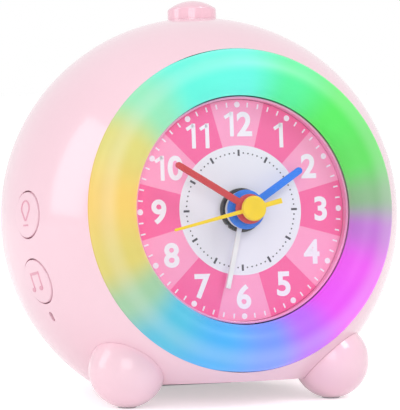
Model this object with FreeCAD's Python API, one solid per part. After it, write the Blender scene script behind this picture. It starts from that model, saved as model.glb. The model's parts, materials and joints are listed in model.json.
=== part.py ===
import FreeCAD, Part
import math
import os

# Ball-shaped children's alarm clock with a night-light ring round its dial.
# Millimetres. The clock is modelled upright about the centre of its ball, with
# its dial facing -Y, and is then leaned back to stand on its feet.
# Depths are measured forward from the centre of the ball, towards -Y.

V = FreeCAD.Vector

# Ball body
BALL_R = 55.0
WALL = 2.4
SEAM_Y = 20.0
BACK_Y = 36.0
FLAT_CUT = 9.4
LEAN = 6.0
SINK = 6.05

# Clearances
GAP = 0.3
SLIP = 0.2
RUN = 0.06

# Light ring: a half-round tube about the dial
RING_LIP_CUT = 0.7
RING_SINK = 0.793
RING_SECTION = 6.6
RING_WALL = 1.6
RING_LIP_RISE = 1.4

# Ring carrier and its lamps
FLANGE_DROP = 5.0
FLANGE_T = 2.0
FLANGE_W = 5.2
TRAY_FLOOR = 1.4
TRAY_WALL = 1.2
LED_COUNT = 12
LED_OUTWARD = 0.6
LED_SIZE = 3.0
LED_T = 1.2
LED_BOARD_T = 1.0
RING_SCREW_ANGLES = (45, 135, 225, 315)
RING_SCREW_INSET = 2.8

# Dial, its cup and the lens
DIAL_SINK = 0.9
DIAL_T = 0.8
DIAL_R = 29.5
CUP_WALL = 0.6
CUP_FLOOR = 1.8
CUP_RISE = 2.2
CUP_PAD_R = 14.0
EAR_W = 9.0
EAR_T = 1.4
EAR_CLEAR = 0.6
EAR_IN_R = 28.0
EAR_SCREW_R = 34.2
EAR_ANGLES = (0, 90, 180, 270)
LENS_T = 1.1
LENS_SHOULDER_R = 27.0
LENS_SHOULDER = 8.5
LENS_EDGE = 0.8
LENS_RISE = 1.5

# Movement
MOVE_SIZE = 50.0
MOVE_CORNER = 6.0
MOVE_ROOM = 4.3
MOVE_T = 15.0
MOVE_WALL = 1.2
MOVE_SPLIT = 7.5
BUSH_R = 4.0
NUT_R = 5.9
NUT_T = 1.3

# Gear train
MODULE = 0.4
MINUTE_TEETH = 36
CANNON_TEETH = 12
HOUR_PINION_TEETH = 10
HOUR_TEETH = 40
ALARM_PINION_TEETH = 16
ALARM_TEETH = 48
SECOND_MODULE = 0.25
SECOND_TEETH = 56
ROTOR_TEETH = 8
SECOND_ARBOR_R = 0.40
MINUTE_TUBE_R = 1.0
HOUR_TUBE_R = 1.7
ALARM_TUBE_R = 2.4
TIME_SHAFT_ANGLE = 60.0
ALARM_SHAFT_ANGLE = 130.0
SHAFT_R = 1.5
ROTOR_R = 2.2
ROTOR_ANGLE = 270.0
ROTOR_PIN_R = 0.35
FINE_RUN = 0.05
WHEEL_T = 1.0

# Hands: clockwise angle from twelve, seen from the front, height over the dial,
# thickness, length, width, tip width, tail length, tail width and hub radius
HANDS = {
    "alarm_hand": dict(angle=193.75, low=1.6, thick=0.5, length=21.3, width=1.3, tip=1.3,
                       tail=0.0, tail_w=1.3, hub=5.0),
    "hour_hand": dict(angle=57.0, low=3.8, thick=0.5, length=19.4, width=2.1, tip=1.9,
                      tail=0.0, tail_w=2.1, hub=5.25),
    "minute_hand": dict(angle=301.3, low=6.5, thick=0.8, length=23.6, width=1.8, tip=1.6,
                        tail=0.0, tail_w=1.8, hub=3.95),
    "second_hand": dict(angle=256.6, low=9.0, thick=0.4, length=22.7, width=1.1, tip=0.7,
                        tail=8.4, tail_w=1.4, hub=1.6)}
CAP_R = 3.3
CAP_TOP = 10.6

# Knobs and rear controls
KNOB_R = 6.0
KNOB_T = 6.4
KNOB_RIBS = 20
KNOB_CLEAR = 0.5
KNOB_SOCKET = 3.0
SWITCH_X = 25.0
SWITCH_Z = 15.0
SWITCH_TRAVEL = 4.0
SWITCH_W = 3.4
SWITCH_L = 4.6

# Batteries
CELL_R = 5.2
CELL_L = 44.0
CELL_COUNT = 3
CELL_SPACE = 0.3
CELL_END_ROOM = 1.25
CELL_HEAD_ROOM = 1.8
BAY_TOP = 1.0
BAY_WALL = 1.2
DOOR_T = 1.8
DOOR_TAB_R = 3.4
DOOR_TAB_T = 1.2
DOOR_TAB_DROP = 3.2
DOOR_CLIPS = (-12, 12)

# Speaker
SPEAKER_R = 12.0
SPEAKER_T = 6.0
SPEAKER_Z = 26.0
GRILLE_HOLE_R = 0.9
GRILLE_RINGS = ((2.9, 6), (5.6, 12))

# Buttons
SNOOZE_R = 6.8
SNOOZE_RISE = 5.1
SNOOZE_STROKE = 1.5
SIDE_R = 6.0
SIDE_PROUD = 0.35
SIDE_STROKE = 1.2
SIDE_AZIMUTH = 13.5
SIDE_TILT = 9.0
LIGHT_RISE = 0.8
MUSIC_RISE = 18.0
HOLE_RISE = 28.8
STEM_R = 2.2
COLLAR_T = 1.2
TACT_SIZE = 6.0
TACT_T = 3.5
PLUNGER_R = 1.7
PLUNGER_T = 1.4
BOARD_T = 1.4
BOARD_POST_R = 1.6
SIDE_POSTS = (18.0, -36.0)
SNOOZE_POST_X = 13.0
SNOOZE_CROWN_R = 10.7
SNOOZE_EDGE_SOFT = 0.15

# Feet
FOOT_R = 10.3
FOOT_X = 29.4
FOOT_SUNK = 0.43
PAD_R = 2.4
PAD_T = 1.0
REST_PAD_W = 30.0
REST_PAD_L = 9.0
REST_PAD_MIDDLE = 18.5

# Screws
SCREW_R = 1.25
SCREW_HEAD_R = 2.5
SCREW_HEAD_T = 1.6
SCREW_SINK = 2.0
SCREW_BITE = 10.0
BOSS_R = 3.5
CASE_SCREWS = [(26.5, 27.0), (-26.5, 27.0), (28.6, -24.0), (-28.6, -24.0)]
PEG_R = 3.0

# Sizes that follow from the ones above
INNER_R = BALL_R - WALL
FLAT_Z = BALL_R - FLAT_CUT
GROUND = BALL_R - SINK
CUP_IN_R = DIAL_R + 0.1
CUP_OUT_R = CUP_IN_R + CUP_WALL
RING_INNER_R = CUP_OUT_R + 0.5 + GAP
RING_MID_R = CUP_OUT_R + GAP + RING_SECTION - RING_LIP_CUT
RING_OUT_R = RING_MID_R + RING_SECTION
RING_SEAT_DEPTH = math.sqrt(BALL_R ** 2 - RING_OUT_R ** 2)
RING_MID_DEPTH = RING_SEAT_DEPTH - RING_SINK
RING_LIP_DEPTH = RING_MID_DEPTH + RING_LIP_RISE
RING_SCREW_R = RING_OUT_R - RING_SCREW_INSET
LED_CIRCLE_R = RING_MID_R + LED_OUTWARD
FLANGE_DEPTH = RING_MID_DEPTH - FLANGE_DROP
FLANGE_IN_R = RING_OUT_R - FLANGE_W
EAR_OUT_R = FLANGE_IN_R - EAR_CLEAR
DIAL_DEPTH = RING_MID_DEPTH - DIAL_SINK
DIAL_BACK = DIAL_DEPTH - DIAL_T
CUP_TOP_DEPTH = DIAL_DEPTH + CUP_RISE
MOVE_FRONT_DEPTH = DIAL_DEPTH - MOVE_ROOM
MOVE_BACK_DEPTH = MOVE_FRONT_DEPTH - MOVE_T
BAY_W = CELL_L + 2 * CELL_END_ROOM
BAY_H = CELL_COUNT * (2 * CELL_R + CELL_SPACE) + CELL_SPACE
BAY_Z = BAY_TOP - BAY_H / 2
BAY_DEPTH = 2 * CELL_R + CELL_HEAD_ROOM
SNOOZE_TOP = BALL_R + SNOOZE_RISE
SNOOZE_EDGE_DROP = SNOOZE_CROWN_R - math.sqrt(SNOOZE_CROWN_R ** 2 - SNOOZE_R ** 2) + SNOOZE_EDGE_SOFT
FOOT_Y = math.sqrt((BALL_R - FOOT_SUNK) ** 2 - FOOT_X ** 2 - (GROUND - FOOT_R) ** 2)
KNOB_SEAT_Y = BACK_Y + KNOB_CLEAR
TIME_DISTANCE = MODULE * (MINUTE_TEETH + CANNON_TEETH) / 2
HOUR_MODULE = 2 * TIME_DISTANCE / (HOUR_TEETH + HOUR_PINION_TEETH)
ALARM_DISTANCE = MODULE * (ALARM_TEETH + ALARM_PINION_TEETH) / 2
ROTOR_DISTANCE = SECOND_MODULE * (SECOND_TEETH + ROTOR_TEETH) / 2
DOOR_SCREW_Z = BAY_Z - BAY_H / 2 - DOOR_TAB_DROP
FINISHED = {}
BALL_CENTRE = V(0, 0, 0)


def keep(name, *shapes):
    """Put one named piece on the list, as one solid or a group of solids."""
    FINISHED[name] = shapes[0] if len(shapes) == 1 else Part.makeCompound(list(shapes))


def join(first, *others):
    """Unite solids into one clean solid."""
    return first.fuse(list(others)).removeSplitter()


def cut(first, *others):
    """Take solids away from the first one."""
    return first.cut(list(others))


def disc(radius, back, front, x=0.0, z=0.0):
    """A cylinder about a front-to-back line, from one depth to another."""
    return Part.makeCylinder(radius, front - back, V(x, -back, z), V(0, -1, 0))


def tube(outer, inner, back, front, x=0.0, z=0.0):
    """A ring-shaped cylinder about a front-to-back line."""
    return disc(outer, back, front, x, z).cut(disc(inner, back - 1, front + 1, x, z))


def block(width, height, back, front, x=0.0, z=0.0):
    """A box centred on (x, z), from one depth to another."""
    corner = V(x - width / 2, -front, z - height / 2)
    return Part.makeBox(width, front - back, height, corner)


def turned(edges):
    """A solid turned about the dial's own line from edges in the XY plane."""
    return Part.Face(Part.Wire(edges)).revolve(V(0, 0, 0), V(0, 1, 0), 360)


def path(points):
    """Straight edges through (radius, depth) points."""
    spots = [V(r, -depth, 0) for r, depth in points]
    return [Part.makeLine(a, b) for a, b in zip(spots, spots[1:])]


def turned_path(points):
    """A solid turned about the dial's own line from a closed straight outline."""
    return turned(path(list(points) + [points[0]]))


def around(angle, radius):
    """The (x, z) place at an angle from +X towards +Z."""
    a = math.radians(angle)
    return radius * math.cos(a), radius * math.sin(a)


TIME_SHAFT = around(TIME_SHAFT_ANGLE, TIME_DISTANCE)
ALARM_SHAFT = around(ALARM_SHAFT_ANGLE, ALARM_DISTANCE)
ROTOR_PLACE = around(ROTOR_ANGLE, ROTOR_DISTANCE)


def ball(radius):
    """A full ball about the origin."""
    return Part.makeSphere(radius)


def gear(teeth, module, back, front, x, z, first_tooth):
    """A spur gear whose first tooth points at an angle from +X towards +Z."""
    pitch_r = teeth * module / 2
    step = 360.0 / teeth
    tip = pitch_r + 0.75 * module
    root = pitch_r - 1.1 * module
    outline = [(root, -0.27), (tip, -0.12), (tip, 0.12), (root, 0.27)]
    spots = []
    for n in range(teeth):
        for radius, share in outline:
            dx, dz = around(first_tooth + (n + share) * step, radius)
            spots.append(V(x + dx, -back, z + dz))
    face = Part.Face(Part.makePolygon(spots + [spots[0]]))
    return face.extrude(V(0, back - front, 0))


def meshed(teeth, towards):
    """First tooth angle of a gear whose tooth gap faces its partner."""
    return towards + 180.0 / teeth


def hand_low(name):
    """Depth of a hand's rear face."""
    return DIAL_DEPTH + HANDS[name]["low"]


def hand_top(name):
    """Depth of a hand's front face."""
    return hand_low(name) + HANDS[name]["thick"]


def make_hand(name, bore_r):
    """A flat hand lying over the dial, pointing clockwise from twelve."""
    size = HANDS[name]
    back = hand_low(name)
    half = [(size["tail_w"] / 2, -size["tail"]), (size["width"] / 2, 0), (size["tip"] / 2, size["length"])]
    outline = [V(-x, -back, z) for x, z in half] + [V(x, -back, z) for x, z in reversed(half)]
    blade = Part.Face(Part.makePolygon(outline + [outline[0]])).extrude(V(0, -size["thick"], 0))
    shape = blade.fuse(disc(size["hub"], back, hand_top(name))).removeSplitter()
    shape = shape.cut(disc(bore_r, back - 1, hand_top(name) + 1))
    shape.rotate(V(0, 0, 0), V(0, 1, 0), size["angle"])
    return shape


def slotted_screw(length, place, way):
    """A pan-head screw: head outside at the place, shank along the way."""
    head = Part.makeCylinder(SCREW_HEAD_R, SCREW_HEAD_T, place, way)
    shank = Part.makeCylinder(SCREW_R, length, place, way)
    slot = Part.makeCylinder(SCREW_R * 0.8, SCREW_HEAD_T * 0.5, place, way)
    return join(head, shank).cut(slot)


def tact_switch(place, way):
    """A square push switch with a round plunger, its foot at the place."""
    body = Part.makeBox(TACT_SIZE, TACT_SIZE, TACT_T, V(-TACT_SIZE / 2, -TACT_SIZE / 2, 0))
    plunger = Part.makeCylinder(PLUNGER_R, TACT_T + PLUNGER_T)
    shape = body.fuse(plunger)
    turn = FreeCAD.Rotation(V(0, 0, 1), way)
    shape.Placement = FreeCAD.Placement(place, turn)
    return shape


def ball_way(rise):
    """Outward line through a spot on the viewer's left flank of the ball."""
    a = math.radians(SIDE_AZIMUTH)
    b = math.radians(rise)
    return V(-math.cos(b) * math.cos(a), -math.cos(b) * math.sin(a), math.sin(b))


SIDE_WAY = ball_way(-SIDE_TILT)


def side_spot(rise):
    """Where a side button's own line crosses a plane through the ball's centre."""
    spot = ball_way(rise) * BALL_R
    return spot - SIDE_WAY * spot.dot(SIDE_WAY)


def side_rod(radius, rise, low, high):
    """A cylinder on a side button's line, between two distances out."""
    start = side_spot(rise) + SIDE_WAY * low
    return Part.makeCylinder(radius, high - low, start, SIDE_WAY)


def side_reach(rise, radius):
    """How far out along a button's line the shell's inside wall is."""
    off = side_spot(rise).Length + radius
    return math.sqrt(INNER_R ** 2 - off ** 2)


SIDE_COLLAR_R = SIDE_R + 0.9
SIDE_COLLAR_OUT = min(side_reach(LIGHT_RISE, SIDE_COLLAR_R), side_reach(-MUSIC_RISE, SIDE_COLLAR_R)) - 0.1
SIDE_STEM_IN = SIDE_COLLAR_OUT - COLLAR_T - 2.4
SIDE_BOARD_OUT = SIDE_STEM_IN - SIDE_STROKE - 0.1 - PLUNGER_T - TACT_T
SNOOZE_COLLAR_R = SNOOZE_R + 1.2
SNOOZE_COLLAR_TOP = math.sqrt(INNER_R ** 2 - SNOOZE_COLLAR_R ** 2) - 0.1
SNOOZE_STEM_LOW = SNOOZE_COLLAR_TOP - COLLAR_T - 3.0
SNOOZE_BOARD_TOP = SNOOZE_STEM_LOW - SNOOZE_STROKE - 0.1 - PLUNGER_T - TACT_T


def leaned(x, y, z):
    """A place in the standing clock, given in the upright model."""
    a = math.radians(LEAN)
    return V(x, y * math.cos(a) - z * math.sin(a), y * math.sin(a) + z * math.cos(a))


def ground_slab():
    """Everything below the table top, in the upright model's own frame."""
    slab = Part.makeBox(300, 300, 100, V(-150, -150, -GROUND - 100))
    slab.rotate(V(0, 0, 0), V(1, 0, 0), LEAN)
    return slab


def foot_centre(side):
    """Centre of one foot's ball in the upright model: side is -1 or 1."""
    height = -GROUND + FOOT_R - 0.05
    return leaned(side * FOOT_X, -FOOT_Y, height)


def foot_screw_line(side):
    """Outward line from the ball's centre to a foot's centre."""
    centre = foot_centre(side)
    return centre.normalize()


def seam_band(outer, inner, front_y, back_y):
    """A spherical wall between two planes across the ball."""
    slab = Part.makeBox(200, back_y - front_y, 200, V(-100, front_y, -100))
    return ball(outer).cut(ball(inner)).common(slab)


def bottom_floor(front_y, back_y):
    """The flat underside plate between two planes across the ball."""
    plate = Part.makeBox(200, back_y - front_y, WALL, V(-100, front_y, -FLAT_Z))
    return plate.common(ball(BALL_R))


def below_flat():
    """Everything under the flat underside."""
    return Part.makeBox(300, 300, 50, V(-150, -150, -FLAT_Z - 50))


def side_openings():
    """Holes for the two side buttons and the small oblong hole below them."""
    holes = [side_rod(SIDE_R + SLIP, LIGHT_RISE, 30, 70), side_rod(SIDE_R + SLIP, -MUSIC_RISE, 30, 70)]
    way = ball_way(-HOLE_RISE)
    along = V(0, 0, 1) - way * way.z
    along.normalize()
    for shift in (-0.7, 0.0, 0.7):
        holes.append(Part.makeCylinder(0.75, 20, way * 45 + along * shift, way))
    return holes


def make_front_shell():
    """Front half of the ball, with the ring's opening, flange and screw bosses."""
    front_y = -RING_SEAT_DEPTH
    shell = join(seam_band(BALL_R, INNER_R, front_y, SEAM_Y), bottom_floor(front_y, SEAM_Y))
    shell = shell.cut(below_flat())
    flange = disc(RING_OUT_R + 4, FLANGE_DEPTH - FLANGE_T, FLANGE_DEPTH).common(ball(INNER_R + 0.5))
    posts = []
    for x, z in CASE_SCREWS:
        post = disc(BOSS_R, -SEAM_Y + 0.1, -2.0, x, z)
        angle = math.degrees(math.atan2(z, x))
        rib = Part.makeBox(30, SEAM_Y - 2.1, 1.6, V(math.hypot(x, z), 2.0, -0.8))
        rib.rotate(V(0, 0, 0), V(0, 1, 0), -angle)
        posts += [post, rib]
    inside = join(flange, *posts).common(ball(INNER_R + 0.5))
    inside = inside.cut(Part.makeBox(300, 300, 50, V(-150, -150, -FLAT_Z - 50 + 0.5)))
    shell = join(shell, inside)
    tools = [disc(FLANGE_IN_R, 0, 60), disc(RING_OUT_R + SLIP, FLANGE_DEPTH, 60)]
    tools += side_openings()
    tools.append(Part.makeCylinder(SNOOZE_R + SLIP, 20, V(0, 0, BALL_R - 10)))
    for side in (-1, 1):
        way = foot_screw_line(side)
        tools.append(Part.makeCylinder(PEG_R + SLIP / 2, 20, way * 45, way))
    for x, z in CASE_SCREWS:
        tools.append(disc(SCREW_R, -SEAM_Y - 1, -6, x, z))
    for angle in RING_SCREW_ANGLES:
        x, z = around(angle, RING_SCREW_R)
        tools.append(disc(SCREW_R, FLANGE_DEPTH - FLANGE_T - 1, FLANGE_DEPTH + 1, x, z))
    shell = cut(shell, *tools)
    within = ball(INNER_R + 0.5)
    side_posts = [side_rod(BOARD_POST_R, rise, SIDE_BOARD_OUT, 70).common(within) for rise in SIDE_POSTS]
    top_posts = []
    for x in (-SNOOZE_POST_X, SNOOZE_POST_X):
        post = Part.makeCylinder(BOARD_POST_R, 20, V(x, 0, SNOOZE_BOARD_TOP))
        top_posts.append(post.common(within))
    return join(shell, *(side_posts + top_posts))


def make_rear_shell():
    """Rear of the ball with its flat back, openings, bosses and locating lip."""
    band = seam_band(BALL_R, INNER_R, SEAM_Y + 0.05, BACK_Y)
    wall = disc(BALL_R, -BACK_Y, -BACK_Y + WALL).common(ball(BALL_R))
    shell = join(band, wall, bottom_floor(SEAM_Y + 0.05, BACK_Y))
    lip = seam_band(INNER_R - 0.15, INNER_R - 1.6, SEAM_Y - 2.5, SEAM_Y + 2.0)
    lip_root = seam_band(INNER_R + 0.3, INNER_R - 1.6, SEAM_Y + 0.05, SEAM_Y + 2.0)
    floor_cut = Part.makeBox(300, 300, 50, V(-150, -150, -FLAT_Z - 50 + WALL + 0.15))
    lip = lip.cut(floor_cut)
    clear = [disc(BOSS_R + 1.2, -SEAM_Y, -SEAM_Y + 5, x, z) for x, z in CASE_SCREWS]
    ribs = []
    for x, z in CASE_SCREWS:
        rib = Part.makeBox(30, 6, 3.0, V(math.hypot(x, z), SEAM_Y - 6 + 0.02, -1.5))
        rib.rotate(V(0, 0, 0), V(0, 1, 0), -math.degrees(math.atan2(z, x)))
        ribs.append(rib)
    lip = lip.cut(clear + ribs)
    bosses = [disc(BOSS_R, -BACK_Y, -SEAM_Y - 0.1, x, z) for x, z in CASE_SCREWS]
    shell = join(shell, lip, lip_root.cut(floor_cut), *bosses).cut(below_flat())
    tools = [block(BAY_W, BAY_H, -BACK_Y - 1, -BACK_Y + WALL + 1, 0, BAY_Z)]
    for x, z in CASE_SCREWS:
        tools.append(disc(SCREW_R + SLIP, -BACK_Y - 1, -SEAM_Y + 1, x, z))
        tools.append(disc(SCREW_HEAD_R + SLIP, -BACK_Y - 1, -BACK_Y + SCREW_SINK, x, z))
    for x, z in (TIME_SHAFT, ALARM_SHAFT):
        tools.append(disc(SHAFT_R + SLIP, -BACK_Y - 1, -BACK_Y + WALL + 1, x, z))
    slot_h = SWITCH_TRAVEL + SWITCH_L + 2 * SLIP - 1.6
    slot_w = SWITCH_W - 1.0 + 2 * SLIP
    tools.append(block(slot_w, slot_h, -BACK_Y - 1, -BACK_Y + WALL + 1, SWITCH_X, SWITCH_Z))
    tools += grille_holes()
    tools.append(disc(SCREW_R, -BACK_Y - 1, -BACK_Y + 5, 0, DOOR_SCREW_Z))
    return cut(shell, *tools)


def grille_holes():
    """Round sound holes in rings over the speaker."""
    holes = [disc(GRILLE_HOLE_R, -BACK_Y - 1, -BACK_Y + WALL + 1, 0, SPEAKER_Z)]
    for ring, count in GRILLE_RINGS:
        for n in range(count):
            x, z = around(360.0 * n / count, ring)
            holes.append(disc(GRILLE_HOLE_R, -BACK_Y - 1, -BACK_Y + WALL + 1, x, SPEAKER_Z + z))
    return holes


def make_light_ring():
    """Hollow half-round diffuser with two legs reaching into the ring carrier."""
    lip = CUP_OUT_R + GAP
    inner_leg = RING_INNER_R + GAP + 0.1
    outer_leg = RING_OUT_R - SLIP / 2
    inside = inner_leg + RING_WALL
    outside = outer_leg - RING_WALL
    foot = FLANGE_DEPTH + TRAY_FLOOR + LED_BOARD_T + 0.1

    def bow(radius, from_r, to_r):
        """The half-round's section between two radii, over its crest."""
        ends = []
        for r in (from_r, to_r):
            rise = math.sqrt(radius ** 2 - (r - RING_MID_R) ** 2)
            ends.append(V(r, -RING_MID_DEPTH - rise, 0))
        return Part.Arc(ends[0], V(RING_MID_R, -RING_MID_DEPTH - radius, 0), ends[1]).toShape()

    over = bow(RING_SECTION, lip, outer_leg)
    under = bow(RING_SECTION - RING_WALL, outside, inside)
    ends = [(v.X, -v.Y) for v in over.Vertexes] + [(v.X, -v.Y) for v in under.Vertexes]
    lip_low, out_low = sorted(ends[:2])
    in_high, out_high = sorted(ends[2:])
    lines = path([in_high, (inside, foot), (inner_leg, foot), (inner_leg, RING_LIP_DEPTH),
                  (lip, RING_LIP_DEPTH), lip_low])
    lines += [over] + path([out_low, (outer_leg, foot), (outside, foot), out_high]) + [under]
    return turned(lines)


def make_ring_parts():
    """The light ring, its white carrier, the lamp board and its lamps."""
    keep("light_ring", make_light_ring())
    floor_front = FLANGE_DEPTH + TRAY_FLOOR
    tray = tube(RING_OUT_R, RING_INNER_R, FLANGE_DEPTH, floor_front)
    leg_room = RING_INNER_R + GAP
    tray = tray.fuse(tube(leg_room, RING_INNER_R, FLANGE_DEPTH, FLANGE_DEPTH + 6.0)).removeSplitter()
    pilots = []
    for angle in RING_SCREW_ANGLES:
        x, z = around(angle, RING_SCREW_R)
        pilots.append(disc(SCREW_R, FLANGE_DEPTH - 1, floor_front - 0.4, x, z))
    keep("ring_carrier", cut(tray, *pilots))
    inner = RING_INNER_R + GAP + 0.1
    board = tube(RING_OUT_R - 0.2, inner, floor_front, floor_front + LED_BOARD_T)
    keep("lamp_board", board)
    lamps = []
    for n in range(LED_COUNT):
        lamp_back = floor_front + LED_BOARD_T
        lamp = block(LED_SIZE, LED_SIZE, lamp_back, lamp_back + LED_T, LED_CIRCLE_R)
        lamp.rotate(V(0, 0, 0), V(0, 1, 0), 360.0 * n / LED_COUNT)
        lamps.append(lamp)
    keep("lamps", *lamps)
    screws = []
    for angle in RING_SCREW_ANGLES:
        x, z = around(angle, RING_SCREW_R)
        place = V(x, -(FLANGE_DEPTH - FLANGE_T - SCREW_HEAD_T), z)
        screws.append(slotted_screw(SCREW_HEAD_T + FLANGE_T + TRAY_FLOOR - 0.5, place, V(0, -1, 0)))
    keep("carrier_screws", *screws)


def make_dial_parts():
    """Dial cup with its ears, dial plate, fixing nut and the clear lens."""
    cup = turned_path([
        (BUSH_R + SLIP, DIAL_BACK), (CUP_IN_R, DIAL_BACK), (CUP_IN_R, CUP_TOP_DEPTH),
        (CUP_OUT_R, CUP_TOP_DEPTH), (CUP_OUT_R, DIAL_BACK - CUP_FLOOR),
        (CUP_PAD_R, DIAL_BACK - CUP_FLOOR), (CUP_PAD_R, MOVE_FRONT_DEPTH),
        (BUSH_R + SLIP, MOVE_FRONT_DEPTH)])
    ears = []
    ear_front = FLANGE_DEPTH - 0.1
    for angle in EAR_ANGLES:
        arm = block(EAR_OUT_R - EAR_IN_R, EAR_W, ear_front - EAR_T, ear_front, (EAR_OUT_R + EAR_IN_R) / 2)
        riser_x = (CUP_OUT_R + EAR_IN_R) / 2
        riser = block(CUP_OUT_R - EAR_IN_R, EAR_W, ear_front - EAR_T, DIAL_BACK - 0.5, riser_x)
        ear = arm.fuse(riser).common(disc(EAR_OUT_R, 0, 60))
        ear.rotate(V(0, 0, 0), V(0, 1, 0), angle)
        ears.append(ear)
    keep_out = tube(60, CUP_OUT_R, ear_front, 60)
    keep("dial_cup", join(cup, *ears).cut(keep_out))
    ear_screws = []
    for angle in EAR_ANGLES:
        x, z = around(angle, EAR_SCREW_R)
        place = V(x, -(ear_front - EAR_T - SCREW_HEAD_T), z)
        ear_screws.append(slotted_screw(SCREW_HEAD_T + EAR_T + 1.0, place, V(0, -1, 0)))
    holes = [s.copy() for s in ear_screws]
    FINISHED["dial_cup"] = cut(FINISHED["dial_cup"], *holes)
    FINISHED["ring_carrier"] = cut(FINISHED["ring_carrier"], *holes)
    keep("cup_screws", *ear_screws)
    keep("dial_plate", tube(DIAL_R, BUSH_R + SLIP, DIAL_BACK, DIAL_DEPTH))
    keep("dial_nut", tube(NUT_R, BUSH_R, DIAL_DEPTH, DIAL_DEPTH + NUT_T))
    edge = CUP_OUT_R
    step = CUP_TOP_DEPTH
    shoulder = step + LENS_SHOULDER
    crest = shoulder + LENS_RISE

    def lens_arc(radius, top, rise):
        """Shallow crown over the shoulder, from the shoulder to the middle."""
        dome = (radius ** 2 + rise ** 2) / (2 * rise)
        half = radius / 2
        middle = top - dome + math.sqrt(dome ** 2 - half ** 2)
        return Part.Arc(V(radius, -(top - rise), 0), V(half, -middle, 0), V(0, -top, 0)).toShape()

    inner_r = LENS_SHOULDER_R - LENS_T * 0.9
    inner_top = crest - LENS_T
    inner_rise = LENS_RISE
    lines = path([(0, inner_top), (0, crest)])
    lines.append(lens_arc(LENS_SHOULDER_R, crest, LENS_RISE))
    lines += path([
        (LENS_SHOULDER_R, shoulder), (edge, step + LENS_EDGE), (edge, step), (edge - LENS_EDGE, step),
        (edge - LENS_EDGE, step + 0.6 * LENS_EDGE), (inner_r, inner_top - inner_rise)])
    lines.append(lens_arc(inner_r, inner_top, inner_rise))
    keep("lens", turned(lines))


def move_block(back, front, inset):
    """The movement's square outline with round corners, pulled in by an inset."""
    size = MOVE_SIZE - 2 * inset
    shape = block(size, size, back, front)
    upright = [e for e in shape.Edges if abs(e.Vertexes[0].Y - e.Vertexes[1].Y) > (front - back) / 2]
    return shape.makeFillet(MOVE_CORNER - inset, upright)


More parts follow.
